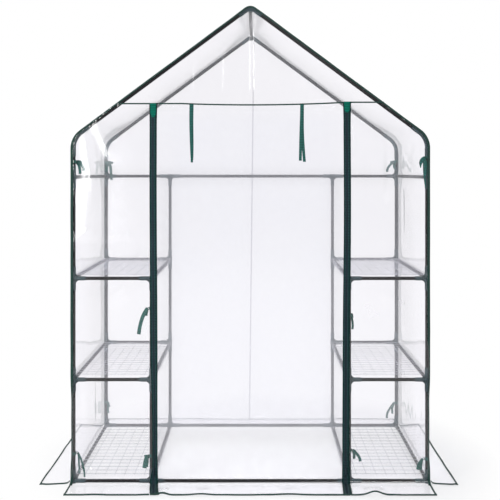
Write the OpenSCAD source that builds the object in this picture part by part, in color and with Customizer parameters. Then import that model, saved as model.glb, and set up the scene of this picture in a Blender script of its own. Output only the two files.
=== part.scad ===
// Walk-in greenhouse: tube frame in plug-in connectors, six wire shelves, clear film cover.
// Millimetres. X to the right, Y to the back, Z up; the ground is at Z = 0, under the middle.

/* [Frame] */
// Distance between the left and right corner post axes
frame_w = 1410; // [1250:5:1600]
// Distance between the front and back post axes
frame_d = 710; // [560:2:900]
// Distance from a corner post axis to the inner post axis beside it
shelf_w = 310; // [270:2:360]
// Height from one tier of rails to the next
tier_pitch = 404; // [340:2:460]
// Height of the eave corner above the upper rails, on the tube axes
eave_rise = 156; // [150:1:230]
// Height of the ridge above the eave corners, on the tube axes
roof_rise = 522; // [440:2:600]
// Bend radius of the eave elbows on the tube axis
eave_bend_r = 80; // [60:1:90]

/* [Tubes and connectors] */
// Outside diameter of every tube
tube_d = 14; // [12:0.2:16]
// Wall of every tube
tube_wall = 0.8; // [0.5:0.1:1.5]
// Room between a tube and its socket, all round
socket_gap = 0.1; // [0.05:0.01:0.3]
// Wall of a connector sleeve
sleeve_wall = 1.4; // [1.2:0.1:2.2]
// How far a sleeve reaches from the middle of its connector
sleeve_reach = 48; // [40:1:56]
// Length of the tapered mouth at the end of a sleeve
mouth_l = 6; // [3:0.5:10]
// How much a sleeve narrows over its mouth, in radius
mouth_taper = 0.6; // [0.3:0.1:0.8]
// Solid floor between a socket and the middle of its connector
socket_floor = 2; // [1.5:0.1:4]
// How far a connector's block stands out past its sleeves
hub_proud = 0.4; // [0.2:0.1:1]
// Radius of the hollow edge of a corner web
web_r = 18; // [14:0.5:20]
// Thickness of a corner web
web_t = 4; // [3:0.2:6]
// Straight sleeve length at each end of an eave elbow
elbow_sleeve = 34; // [28:1:36]
// How much thinner the bend of an elbow is than its sleeves, in radius
elbow_neck = 0.7; // [0.4:0.1:1]
// Reach of a ridge connector's flat top past the radius of a sleeve, down a rafter
ridge_flat = 3.5; // [2.5:0.1:5]
// Length of the shoulder between that flat top and the rafter sleeve
ridge_shoulder = 5.2; // [4.5:0.1:8]
// How much further than other sleeves the rafter sleeves of a ridge connector reach
ridge_sleeve_extra = 8; // [0:1:20]

/* [Wire shelves] */
// Thickness of a shelf wire, over its corners
wire_d = 2.2; // [1.8:0.1:3]
// Distance between wires that run from front to back
long_wire_pitch = 40; // [34:1:46]
// Number of wires that run from front to back, without the two lip wires
long_wires = 7; // [5:1:7]
// Number of wires that run across a shelf
cross_wires = 16; // [8:1:20]
// Room between a connector sleeve and the first cross wire
shelf_end_room = 6; // [4:0.5:12]
// How far the wires from front to back run past the first and last cross wires
wire_end = 5; // [2:0.5:6]
// Depth of the lips that hook over the side rails
lip_h = 14; // [11:0.5:15]
// Room between a wire and the rail it hooks over
wire_seat_gap = 0.2; // [0.1:0.05:0.5]

/* [Cover] */
// Thickness of the film
film_t = 0.5; // [0.3:0.05:1]
// Room between a connector and the film
cover_gap = 1.2; // [1:0.1:4]
// Height of the gable seam above the eave corners
seam_rise = 142; // [100:2:200]
// Width of the ground skirts at the left and right
side_skirt_w = 112; // [80:2:180]
// Width of the ground skirts at the front and back
end_skirt_w = 108; // [70:1:160]
// Width of the tape that binds the front and back edges
binding_w = 9; // [7:0.5:14]
// Thickness of that tape where it stands on the film
binding_t = 2; // [1:0.1:4]
// Width of the tape on the gable seam
seam_tape_w = 6; // [4:0.5:12]
// Width of the tape on the skirt edges
skirt_tape_w = 7; // [3:0.5:10]
// Thickness of the tape on the skirt edges
skirt_tape_t = 2; // [0.8:0.1:2.5]

/* [Door] */
// Distance of a zip strip from the inner post axis, towards the doorway
zip_inset = 9; // [6:0.5:20]
// Width of a zip strip
zip_w = 28; // [22:1:40]
// Thickness of a zip strip's tape
zip_tape_t = 1; // [0.6:0.1:2]
// Width of the zip's own teeth
zip_teeth_w = 7; // [5:0.5:10]
// How far the teeth stand in front of the tape
zip_teeth_t = 1; // [0.5:0.1:2]
// Gap between two film panels under a zip
zip_split = 3; // [2:0.5:6]

/* [Ties] */
// Distance of the roll-up ties from the middle of the door
door_tie_x = 217; // [120:1:260]
// Length of a roll-up tie
door_tie_l = 232; // [150:2:320]
// How much shorter the second tape of a roll-up tie is
door_tie_step = 7; // [0:1:20]
// Room between the two tapes of a roll-up tie
door_tie_room = 1; // [0.5:0.5:6]
// Width of every tie tape
tie_w = 10; // [8:0.5:12]
// Thickness of every tie tape
tie_t = 1; // [0.6:0.1:1.2]
// Room between a tie and what it lies on
tie_gap = 0.2; // [0.1:0.05:0.3]
// Width of a knot
knot_w = 8; // [6:0.5:10]
// Height of a knot
knot_h = 9; // [7:0.5:12]
// How far a knot stands out from its post
knot_out = 7; // [6:0.5:8]
// Width of the tails below a knot
tail_w = 7; // [5:0.5:8]
// Length of the tails on the corner posts
corner_tail_l = 42; // [30:1:60]
// Length of the tails at the foot of the inner posts
foot_tail_l = 29; // [20:1:42]
// Length of the tails halfway up the inner posts
door_tail_l = 67; // [50:1:78]
// Height of the lowest ties above the ground connectors' sleeves
foot_tie_rise = 36; // [34:1:60]
// Height of the ties halfway up the inner posts above the middle connectors' sleeves
door_tie_rise = 226; // [180:1:234]

/* [Hidden] */
$fn = 48;
eave_facets = 6;
sides = [-1, 1];
ends = [-1, 1];
tube_colour = "#2b2b31";
connector_colour = "#39494b";
wire_colour = "#b4b4ba";
film_colour = "#eef0f6";
film_alpha = 0.3;
tape_colour = "#1c4a42";
zip_colour = "#26333f";
tie_colour = "#2f7a69";
// How far a cut runs past the face that it opens, and one shape of a piece into the next
cut = 1;
fuse = 1.5;
// Radius of the ball that rounds a connector's block, as a share of half its width
block_round = 1.55;
tube_r = tube_d / 2;
bore_r = tube_r + socket_gap;
sleeve_r = bore_r + sleeve_wall;
hub = sleeve_r + hub_proud;
seat = hub + socket_floor;
post_x = frame_w / 2;
post_y = frame_d / 2;
inner_x = post_x - shelf_w;
function tier_z(n) = hub + n * tier_pitch;
eave_z = tier_z(3) + eave_rise;
ridge_z = eave_z + roof_rise;
pitch_a = atan2(roof_rise, post_x);
eave_turn = 90 - pitch_a;
eave_cut = eave_bend_r * tan(eave_turn / 2);
elbow_seat = eave_cut + socket_floor;
// The ridge connector's block, measured along a rafter axis
ridge_top_a = sleeve_r + ridge_flat;
ridge_end_a = ridge_top_a + ridge_shoulder;
ridge_reach = sleeve_reach + ridge_sleeve_extra;
function along_rafter(a, off) =
    [a * cos(pitch_a) + off * sin(pitch_a), off * cos(pitch_a) - a * sin(pitch_a)];
ridge_block_top = along_rafter(ridge_top_a, hub)[1];
ridge_block_low = along_rafter(ridge_end_a, -hub)[1];
ridge_tube_z = ridge_z + (ridge_block_top + ridge_block_low) / 2;
// Film faces, measured out from the tube axes
film_in = hub + cover_gap;
film_out = film_in + film_t;
wall_x = post_x + film_in;
wall_y = post_y + film_in;
head_z = eave_z + seam_rise;
zip_x = inner_x - zip_inset;
binding_half = binding_w / 2;
side_edge = wall_x + film_t + side_skirt_w;
end_edge = wall_y + film_t + end_skirt_w;
// Wire sections are hexagons with a flat on top, welded a little way into each other
wire_flat = wire_d * cos(30) / 2;
weld = 0.4;
// Cross wires end past the lips by this share of a wire, whose uprights are drawn slightly thinner
wire_past = 0.4;
upright_share = 0.96;
// Headings of the knots from a line across the front, and how far the tails lean apart
knot_turn = 40;
corner_lean = 17;
door_lean = 10;

// Basic shapes

// Puts its child, drawn for the right, on side s
module on_side(s) {
    mirror([s < 0 ? 1 : 0, 0, 0])
        children();
}

// Puts its child, drawn for the back, at end e
module at_end(e) {
    mirror([0, e < 0 ? 1 : 0, 0])
        children();
}

// Stands its child on p, with the child's Z axis towards q
module aim(p, q) {
    d = q - p;
    translate(p)
        rotate([0, acos(d[2] / norm(d)), atan2(d[1], d[0])])
            children();
}

// A tube from p to q, both on its axis
module tube(p, q) {
    l = norm(q - p);
    aim(p, q)
        difference() {
            cylinder(d = tube_d, h = l);
            translate([0, 0, -cut])
                cylinder(d = tube_d - 2 * tube_wall, h = l + 2 * cut);
        }
}

// A tube between two connectors in the middle of p and q
module rail(p, q) {
    u = (q - p) / norm(q - p);
    tube(p + seat * u, q - seat * u);
}

// A solid sleeve up the Z axis, with its tapered mouth at height l
module sleeve_body(l) {
    rotate_extrude()
        polygon([[0, 0], [sleeve_r, 0], [sleeve_r, l - mouth_l], [sleeve_r - mouth_taper, l], [0, l]]);
}

// One sleeve of a connector, without its socket
module sleeve(u, from, to) {
    aim(from * u, to * u)
        sleeve_body(to - from);
}

module socket(u, from, to) {
    aim(from * u, to * u)
        cylinder(r = bore_r, h = to - from + cut);
}

// A web with a hollow edge in the corner between two sleeves
module web(u, v) {
    w = cross(u, v);
    c = sleeve_r + web_r;
    multmatrix([[u[0], v[0], w[0], 0], [u[1], v[1], w[1], 0], [u[2], v[2], w[2], 0], [0, 0, 0, 1]])
        linear_extrude(web_t, center = true)
            difference() {
                square(c);
                translate([c, c])
                    circle(web_r + fuse);
            }
}

// A connector with a sleeve in each direction of arms and a web in each corner
module connector(at, arms) {
    n = len(arms) - 1;
    translate(at)
        difference() {
            union() {
                intersection() {
                    cube(2 * hub, center = true);
                    sphere(block_round * hub);
                }
                for (u = arms) sleeve(u, hub, sleeve_reach);
                for (i = [0:n - 1])
                    for (j = [i + 1:n])
                        if (arms[i] * arms[j] == 0) web(arms[i], arms[j]);
            }
            for (u = arms) socket(u, seat, sleeve_reach);
        }
}

up = [0, 0, 1];
down = [0, 0, -1];

// Frame tubes

module corner_posts(e) {
    color(tube_colour)
        for (s = sides) {
            for (n = [0:2])
                rail([s * post_x, e * post_y, tier_z(n)], [s * post_x, e * post_y, tier_z(n + 1)]);
            tube([s * post_x, e * post_y, tier_z(3) + seat], [s * post_x, e * post_y, eave_z - elbow_seat]);
        }
}

module front_corner_posts() { corner_posts(-1); }
module back_corner_posts() { corner_posts(1); }

module inner_posts(e, last) {
    color(tube_colour)
        for (s = sides)
            for (n = [0:last - 1])
                rail([s * inner_x, e * post_y, tier_z(n)], [s * inner_x, e * post_y, tier_z(n + 1)]);
}

module front_inner_posts() { inner_posts(-1, 2); }
module back_inner_posts() { inner_posts(1, 3); }

// The rails round the two shelves of one tier
module tier_rails(z) {
    for (s = sides) {
        for (x = [post_x, inner_x])
            rail([s * x, -post_y, z], [s * x, post_y, z]);
        for (e = ends)
            rail([s * inner_x, e * post_y, z], [s * post_x, e * post_y, z]);
    }
}

module ground_rails() {
    color(tube_colour) {
        tier_rails(tier_z(0));
        for (e = ends)
            rail([-inner_x, e * post_y, tier_z(0)], [inner_x, e * post_y, tier_z(0)]);
    }
}

module middle_rails() { color(tube_colour) tier_rails(tier_z(1)); }
module top_rails() { color(tube_colour) tier_rails(tier_z(2)); }

module upper_rails() {
    z = tier_z(3);
    color(tube_colour) {
        for (s = sides) {
            rail([s * post_x, -post_y, z], [s * post_x, post_y, z]);
            rail([s * inner_x, post_y, z], [s * post_x, post_y, z]);
        }
        rail([-inner_x, post_y, z], [inner_x, post_y, z]);
    }
}

module rafters() {
    color(tube_colour)
        for (s = sides)
            for (e = ends) {
                u = [-s * cos(pitch_a), 0, sin(pitch_a)];
                tube([s * post_x, e * post_y, eave_z] + elbow_seat * u,
                    [0, e * post_y, ridge_z] - (ridge_end_a + socket_floor) * u);
            }
}

module ridge_tube() {
    color(tube_colour)
        rail([0, -post_y, ridge_tube_z], [0, post_y, ridge_tube_z]);
}

// Connectors

module ground_connectors() {
    color(connector_colour)
        for (s = sides)
            for (e = ends) {
                connector([s * post_x, e * post_y, tier_z(0)], [up, [-s, 0, 0], [0, -e, 0]]);
                connector([s * inner_x, e * post_y, tier_z(0)], [up, [-s, 0, 0], [s, 0, 0], [0, -e, 0]]);
            }
}

module middle_connectors() {
    color(connector_colour)
        for (s = sides)
            for (e = ends) {
                connector([s * post_x, e * post_y, tier_z(1)], [up, down, [-s, 0, 0], [0, -e, 0]]);
                connector([s * inner_x, e * post_y, tier_z(1)], [up, down, [s, 0, 0], [0, -e, 0]]);
            }
}

module top_connectors() {
    z = tier_z(2);
    color(connector_colour)
        for (s = sides) {
            for (e = ends)
                connector([s * post_x, e * post_y, z], [up, down, [-s, 0, 0], [0, -e, 0]]);
            connector([s * inner_x, -post_y, z], [down, [s, 0, 0], [0, 1, 0]]);
            connector([s * inner_x, post_y, z], [up, down, [s, 0, 0], [0, -1, 0]]);
        }
}

module upper_connectors() {
    z = tier_z(3);
    color(connector_colour)
        for (s = sides) {
            connector([s * post_x, -post_y, z], [up, down, [0, 1, 0]]);
            connector([s * post_x, post_y, z], [up, down, [-s, 0, 0], [0, -1, 0]]);
            connector([s * inner_x, post_y, z], [down, [s, 0, 0], [-s, 0, 0]]);
        }
}

// A sleeve at one end of an elbow, with its mouth at -elbow_sleeve
module elbow_end() {
    difference() {
        translate([0, 0, socket_floor])
            mirror([0, 0, 1])
                sleeve_body(elbow_sleeve + socket_floor);
        translate([0, 0, -elbow_sleeve - cut])
            cylinder(r = bore_r, h = elbow_sleeve + cut - socket_floor);
    }
}

// The right elbow in the plane of a rafter, on the post axis
module elbow() {
    translate([-eave_bend_r, 0, eave_z - eave_cut])
        rotate([90, 0, 0])
            rotate_extrude(angle = eave_turn)
                translate([eave_bend_r, 0])
                    circle(sleeve_r - elbow_neck);
    translate([0, 0, eave_z - eave_cut])
        elbow_end();
    translate([0, 0, eave_z])
        rotate([0, pitch_a - 90, 0])
            translate([0, 0, eave_cut])
                mirror([0, 0, 1])
                    elbow_end();
}

module eave_elbows() {
    color(connector_colour)
        for (s = sides)
            for (e = ends)
                on_side(s) translate([post_x, e * post_y, 0]) elbow();
}

// A ridge connector: two sleeves down the rafters and one along the ridge tube
module ridge_connector(e) {
    p1 = along_rafter(ridge_top_a, hub);
    p2 = along_rafter(ridge_end_a, hub);
    p3 = along_rafter(ridge_end_a, -hub);
    drop = ridge_tube_z - ridge_z;
    slopes = [for (s = sides) [s * cos(pitch_a), 0, -sin(pitch_a)]];
    translate([0, e * post_y, ridge_z])
        difference() {
            union() {
                rotate([90, 0, 0])
                    linear_extrude(2 * hub, center = true)
                        polygon([p1, p2, p3, [-p3[0], p3[1]], [-p2[0], p2[1]], [-p1[0], p1[1]]]);
                for (u = slopes) sleeve(u, ridge_end_a - fuse, ridge_reach);
                translate([0, 0, drop]) sleeve([0, -e, 0], hub, sleeve_reach);
            }
            for (u = slopes) socket(u, ridge_end_a + socket_floor, ridge_reach);
            translate([0, 0, drop]) socket([0, -e, 0], seat, sleeve_reach);
        }
}

module ridge_connectors() { color(connector_colour) for (e = ends) ridge_connector(e); }

// Wire shelves

module wire_x(from, to) {
    translate([from, 0, 0])
        rotate([0, 90, 0])
            rotate([0, 0, 30])
                cylinder(d = wire_d, h = to - from, $fn = 6);
}

module wire_y(l) {
    translate([0, l / 2, 0])
        rotate([90, 0, 0])
            cylinder(d = wire_d, h = l, $fn = 6);
}

// A shelf on the rails of tier n at side s, with lips hooked over both side rails
module wire_shelf(s, n) {
    first_y = post_y - sleeve_reach - shelf_end_room;
    step_y = 2 * first_y / (cross_wires - 1);
    lip = tube_r + wire_seat_gap + wire_d / 2;
    x0 = inner_x - lip;
    x1 = post_x + lip;
    z = tier_z(n) + tube_r + wire_seat_gap + wire_flat;
    long_z = 2 * wire_flat - weld;
    long_l = 2 * (first_y + wire_end);
    mid_x = (inner_x + post_x) / 2;
    color(wire_colour)
        on_side(s)
            translate([0, 0, z]) {
                for (i = [0:cross_wires - 1])
                    translate([0, step_y * i - first_y, 0]) {
                        wire_x(x0 - wire_past * wire_d, x1 + wire_past * wire_d);
                        for (x = [x0, x1])
                            translate([x, 0, -lip_h])
                                cylinder(d = upright_share * wire_d, h = lip_h, $fn = 6);
                    }
                for (i = [0:long_wires - 1])
                    translate([mid_x + (i - (long_wires - 1) / 2) * long_wire_pitch, 0, -long_z])
                        wire_y(long_l);
                for (x = [x0, x1])
                    translate([x, 0, -lip_h])
                        wire_y(long_l);
            }
}

module ground_left_shelf() { wire_shelf(-1, 0); }
module ground_right_shelf() { wire_shelf(1, 0); }
module middle_left_shelf() { wire_shelf(-1, 1); }
module middle_right_shelf() { wire_shelf(1, 1); }
module top_left_shelf() { wire_shelf(-1, 2); }
module top_right_shelf() { wire_shelf(1, 2); }

// Film cover

// Points of the right eave bend at a distance out from the tube axes, from the wall up
function eave_arc(off) = [for (i = [0:eave_facets])
    let (a = eave_turn * i / eave_facets)
    [post_x - eave_bend_r + (eave_bend_r + off) * cos(a), eave_z - eave_cut + (eave_bend_r + off) * sin(a)]];
function ridge_point(off) = [0, ridge_z + off / cos(pitch_a)];
function flip(points) = [for (i = [len(points) - 1:-1:0]) [-points[i][0], points[i][1]]];
function back_to_front(points) = [for (i = [len(points) - 1:-1:0]) points[i]];

// Outline of a gable end at a distance out from the tube axes, from height z up
module gable(off, z) {
    half = concat([[post_x + off, z]], eave_arc(off));
    polygon(concat(half, [ridge_point(off)], flip(half)));
}

// Stands a flat outline up, with its face from y0 to y1
module upright(y0, y1) {
    translate([0, y1, 0])
        rotate([90, 0, 0])
            linear_extrude(y1 - y0)
                children();
}

// A strip of film between two rows of points in the plane of a gable end
module film_strip(inside, outside) {
    upright(-wall_y, wall_y)
        polygon(concat(outside, back_to_front(inside)));
}

module side_film(s) {
    color(film_colour, film_alpha)
        on_side(s)
            children();
}

module wall_film() {
    z = eave_z - eave_cut;
    film_strip([[wall_x, film_t], [wall_x, z]], [[wall_x + film_t, film_t], [wall_x + film_t, z]]);
}

module eave_film() {
    film_strip(eave_arc(film_in), eave_arc(film_out));
}

module roof_film() {
    film_strip([eave_arc(film_in)[eave_facets], ridge_point(film_in)],
        [eave_arc(film_out)[eave_facets], ridge_point(film_out)]);
}

module left_wall_film() { side_film(-1) wall_film(); }
module right_wall_film() { side_film(1) wall_film(); }
module left_eave_film() { side_film(-1) eave_film(); }
module right_eave_film() { side_film(1) eave_film(); }
module left_roof_film() { side_film(-1) roof_film(); }
module right_roof_film() { side_film(1) roof_film(); }

module back_film() {
    color(film_colour, film_alpha)
        upright(wall_y, wall_y + film_t)
            gable(film_out, film_t);
}

// The part of the front film inside a rectangle
module front_film(x0, x1, z0, z1) {
    color(film_colour, film_alpha)
        upright(-wall_y - film_t, -wall_y)
            intersection() {
                gable(film_out, film_t);
                translate([x0, z0]) square([x1 - x0, z1 - z0]);
            }
}

module front_left_film() { front_film(-2 * post_x, -zip_x - zip_split / 2, 0, head_z); }
module front_right_film() { front_film(zip_x + zip_split / 2, 2 * post_x, 0, head_z); }
module door_film() { front_film(-zip_x + zip_split / 2, zip_x - zip_split / 2, 0, head_z); }
module front_gable_film() { front_film(-2 * post_x, 2 * post_x, head_z, 2 * ridge_z); }

module flap(x0, x1, y0, y1) {
    color(film_colour, film_alpha)
        translate([x0, y0, 0])
            cube([x1 - x0, y1 - y0, film_t]);
}

module front_skirt() {
    outer = wall_x + film_t;
    split = zip_split / 2;
    for (s = sides)
        on_side(s)
            flap(zip_x + split, outer, -end_edge, -wall_y);
    flap(-zip_x + split, zip_x - split, -end_edge, -wall_y);
}

module back_skirt() { flap(-wall_x - film_t, wall_x + film_t, wall_y, end_edge); }
module left_skirt() { flap(-side_edge, -wall_x, -wall_y, wall_y); }
module right_skirt() { flap(wall_x, side_edge, -wall_y, wall_y); }

// Tapes

// The tape round the edge of a gable end, half on the film and half beyond it
module edge_tape() {
    difference() {
        gable(film_out + binding_half, film_t);
        gable(film_out - binding_half, 0);
    }
}

module front_edge_tape() {
    color(tape_colour) upright(-wall_y - film_t - binding_t, -wall_y - film_t) edge_tape();
}

module back_edge_tape() {
    color(tape_colour) upright(wall_y + film_t, wall_y + film_t + binding_t) edge_tape();
}

module gable_seam_tape() {
    color(tape_colour)
        upright(-wall_y - film_t - binding_t, -wall_y - film_t)
            intersection() {
                gable(film_out - binding_half, film_t);
                translate([-2 * post_x, head_z - seam_tape_w / 2]) square([4 * post_x, seam_tape_w]);
            }
}

module skirt_strip(x0, x1, y0, y1) {
    translate([x0, y0, film_t])
        cube([x1 - x0, y1 - y0, skirt_tape_t]);
}

module skirt_tape() {
    outer = wall_x + film_t;
    w = skirt_tape_w;
    start = wall_y + film_t + binding_t;
    side_start = outer + binding_half;
    color(tape_colour) {
        for (s = sides)
            on_side(s) {
                skirt_strip(side_edge - w, side_edge, -wall_y, wall_y);
                for (e = ends)
                    at_end(e) skirt_strip(side_start, side_edge - w, wall_y - w, wall_y);
                skirt_strip(zip_x + zip_split / 2, outer, -end_edge, -end_edge + w);
                for (e = ends)
                    at_end(e) skirt_strip(outer - w, outer, start, end_edge - w);
            }
        skirt_strip(-zip_x + zip_split / 2, zip_x - zip_split / 2, -end_edge, -end_edge + w);
        skirt_strip(-outer, outer, end_edge - w, end_edge);
    }
}

// Zips and ties

// A zip strip up the front film and out over the front skirt
module zip(x) {
    y = -wall_y - film_t;
    top = head_z - seam_tape_w / 2;
    run = end_edge - skirt_tape_w - wall_y - film_t;
    color(zip_colour)
        translate([x, y, film_t]) {
            for (part = [[zip_w, zip_tape_t], [zip_teeth_w, zip_tape_t + zip_teeth_t]]) {
                translate([-part[0] / 2, -part[1], 0])
                    cube([part[0], part[1], top - film_t]);
                translate([-part[0] / 2, -run, 0])
                    cube([part[0], run, part[1]]);
            }
        }
}

module left_zip() { zip(-zip_x); }
module right_zip() { zip(zip_x); }

// Two tapes at each place hang from the gable seam, ready to hold the rolled door
module door_ties() {
    y = -wall_y - film_t - tie_gap;
    apart = (tie_w + door_tie_room) / 2;
    color(tie_colour)
        for (s = sides)
            translate([s * door_tie_x, y, head_z - seam_tape_w / 2])
                for (part = [[-apart, door_tie_l], [apart, door_tie_l - door_tie_step]])
                    translate([part[0] - tie_w / 2, -tie_t, -part[1]])
                        cube([tie_w, tie_t, part[1]]);
}

// A tape round a post with a knot and two tails, towards the angle turn
module post_tie(at, turn, lean, tail) {
    r = tube_r + tie_gap;
    knot_from = r + tie_t / 2;
    translate(at)
        rotate([0, 0, turn])
            union() {
                difference() {
                    cylinder(r = r + tie_t, h = tie_w, center = true);
                    cylinder(r = r, h = tie_w + 2 * cut, center = true);
                }
                translate([knot_from, -knot_w / 2, -knot_h / 2])
                    cube([knot_out, knot_w, knot_h]);
                for (k = [-1, 1])
                    translate([knot_from + knot_out / 2, 0, 0])
                        rotate([k * lean, 0, 0])
                            translate([-tie_t / 2, -tail_w / 2, -tail])
                                cube([tie_t, tail_w, tail]);
            }
}

module post_ties() {
    eave_tie_z = (tier_z(3) + sleeve_reach + eave_z - eave_cut - elbow_sleeve) / 2;
    foot_tie_z = tier_z(0) + sleeve_reach + foot_tie_rise;
    door_tie_z = tier_z(1) + sleeve_reach + door_tie_rise;
    color(tie_colour)
        for (s = sides) {
            inward = s > 0 ? 180 : 0;
            for (e = ends) {
                turn = inward + s * e * knot_turn;
                for (z = [eave_tie_z, foot_tie_z])
                    post_tie([s * post_x, e * post_y, z], turn, corner_lean, corner_tail_l);
            }
            outward = 180 - inward + s * knot_turn;
            post_tie([s * inner_x, -post_y, foot_tie_z], outward, corner_lean, foot_tail_l);
            post_tie([s * inner_x, -post_y, door_tie_z], outward, door_lean, door_tail_l);
        }
}

front_corner_posts();
back_corner_posts();
front_inner_posts();
back_inner_posts();
ground_rails();
middle_rails();
top_rails();
upper_rails();
rafters();
ridge_tube();
ground_connectors();
middle_connectors();
top_connectors();
upper_connectors();
eave_elbows();
ridge_connectors();
ground_left_shelf();
ground_right_shelf();
middle_left_shelf();
middle_right_shelf();
top_left_shelf();
top_right_shelf();
left_wall_film();
right_wall_film();
left_eave_film();
right_eave_film();
left_roof_film();
right_roof_film();
back_film();
front_left_film();
front_right_film();
door_film();
front_gable_film();
front_skirt();
back_skirt();
left_skirt();
right_skirt();
front_edge_tape();
back_edge_tape();
gable_seam_tape();
skirt_tape();
left_zip();
right_zip();
door_ties();
post_ties();
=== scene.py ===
"""Walk-in greenhouse: the film cover, its tapes, zips and ties, and the finish of the tube frame.

Lengths are in metres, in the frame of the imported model: X to the right, Y to the back, Z up.
"""
import math

import bpy
from bpy.props import FloatProperty, FloatVectorProperty, PointerProperty
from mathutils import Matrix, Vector, noise


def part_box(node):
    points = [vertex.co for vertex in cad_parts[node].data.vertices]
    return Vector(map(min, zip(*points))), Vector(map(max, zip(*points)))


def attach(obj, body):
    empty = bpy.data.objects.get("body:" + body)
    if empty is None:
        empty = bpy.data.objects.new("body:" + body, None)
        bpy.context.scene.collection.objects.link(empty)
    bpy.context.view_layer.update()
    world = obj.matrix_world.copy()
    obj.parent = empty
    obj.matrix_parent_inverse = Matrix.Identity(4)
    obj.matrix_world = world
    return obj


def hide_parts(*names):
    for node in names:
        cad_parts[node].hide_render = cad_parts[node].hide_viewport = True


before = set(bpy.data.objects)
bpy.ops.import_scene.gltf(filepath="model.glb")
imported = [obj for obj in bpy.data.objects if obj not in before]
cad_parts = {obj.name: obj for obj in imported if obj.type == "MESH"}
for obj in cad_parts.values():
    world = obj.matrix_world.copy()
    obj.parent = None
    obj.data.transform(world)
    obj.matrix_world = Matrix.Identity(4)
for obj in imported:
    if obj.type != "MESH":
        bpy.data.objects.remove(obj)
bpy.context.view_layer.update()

bl_info = {
    "name": "Walk-in Greenhouse",
    "version": (1, 0, 0),
    "blender": (4, 5, 0),
    "location": "3D View > Sidebar > Greenhouse",
    "description": "Covers a tube frame with clear film, bound edges, zips and ties",
    "category": "Object",
}

SIDES = (-1, 1)
TUBES = ("front_corner_posts", "back_corner_posts", "front_inner_posts", "back_inner_posts",
         "ground_rails", "middle_rails", "top_rails", "upper_rails", "rafters", "ridge_tube")
CONNECTORS = ("ground_connectors", "middle_connectors", "top_connectors", "upper_connectors",
              "eave_elbows", "ridge_connectors")
SHELVES = ("ground_left_shelf", "ground_right_shelf", "middle_left_shelf", "middle_right_shelf",
           "top_left_shelf", "top_right_shelf")

# Lengths of the frame that its boxes don't give
TUBE_R = 0.007
ZIP_TO_INNER_POST = 0.009
INNER_TO_CORNER_POST = 0.310
# Films that meet at a corner of the cover end this far inside each other's faces
EDGE_INSET = 0.0004
# The end films lie this far inside the cover's end faces, and the tapes on their edges this far outside
FACE_GAP = 0.0002
# Points of a sheet that lie closer than this are one, and a shorter step than this has no way along it
MERGE_DISTANCE = 0.00002
NO_STEP = 0.000001
# Thickness of the tapes
BINDING_WALL = 0.0004
HEM_T = 0.002
SEAM_T = 0.0012
ZIP_TAPE_T = 0.0008
TIE_T = 0.0006
# Width and height of a sewn thread
THREAD = (0.0009, 0.0006)
# How far the front corners of the cover stand off the posts near the ground
CORNER_STAND_OFF = 0.012
# From the middle to the last points of the gable film, a little past where the seam meets the roof's edge,
# and how much lower the seam is at the left
SEAM_REACH = 0.55
SEAM_LEAN = 0.0055
# How much further out the front skirt is pulled than the back one
FRONT_PULL = 0.013
# The share of an end's rows of points that lies in its skirt, and how much its columns crowd to its sides
SKIRT_ROWS = 0.16
CROWDING = 0.4

ACROSS, FORWARD, UP = Vector((1, 0, 0)), Vector((0, -1, 0)), Vector((0, 0, 1))


def low(node):
    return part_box(node)[0]


def high(node):
    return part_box(node)[1]


def middle(node):
    return (low(node) + high(node)) / 2


def srgb(code):
    """A hex colour as linear RGBA."""
    parts = [int(code[i:i + 2], 16) / 255 for i in (1, 3, 5)]
    return [c / 12.92 if c <= 0.04045 else ((c + 0.055) / 1.055) ** 2.4 for c in parts] + [1.0]


def length(name, description, default):
    return FloatProperty(name=name, description=description, default=default, unit="LENGTH", precision=4)


def colour(name, description, code):
    return FloatVectorProperty(name=name, description=description, default=srgb(code), size=4,
                               min=0, max=1, subtype="COLOR")


# Sizes and colours


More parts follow.
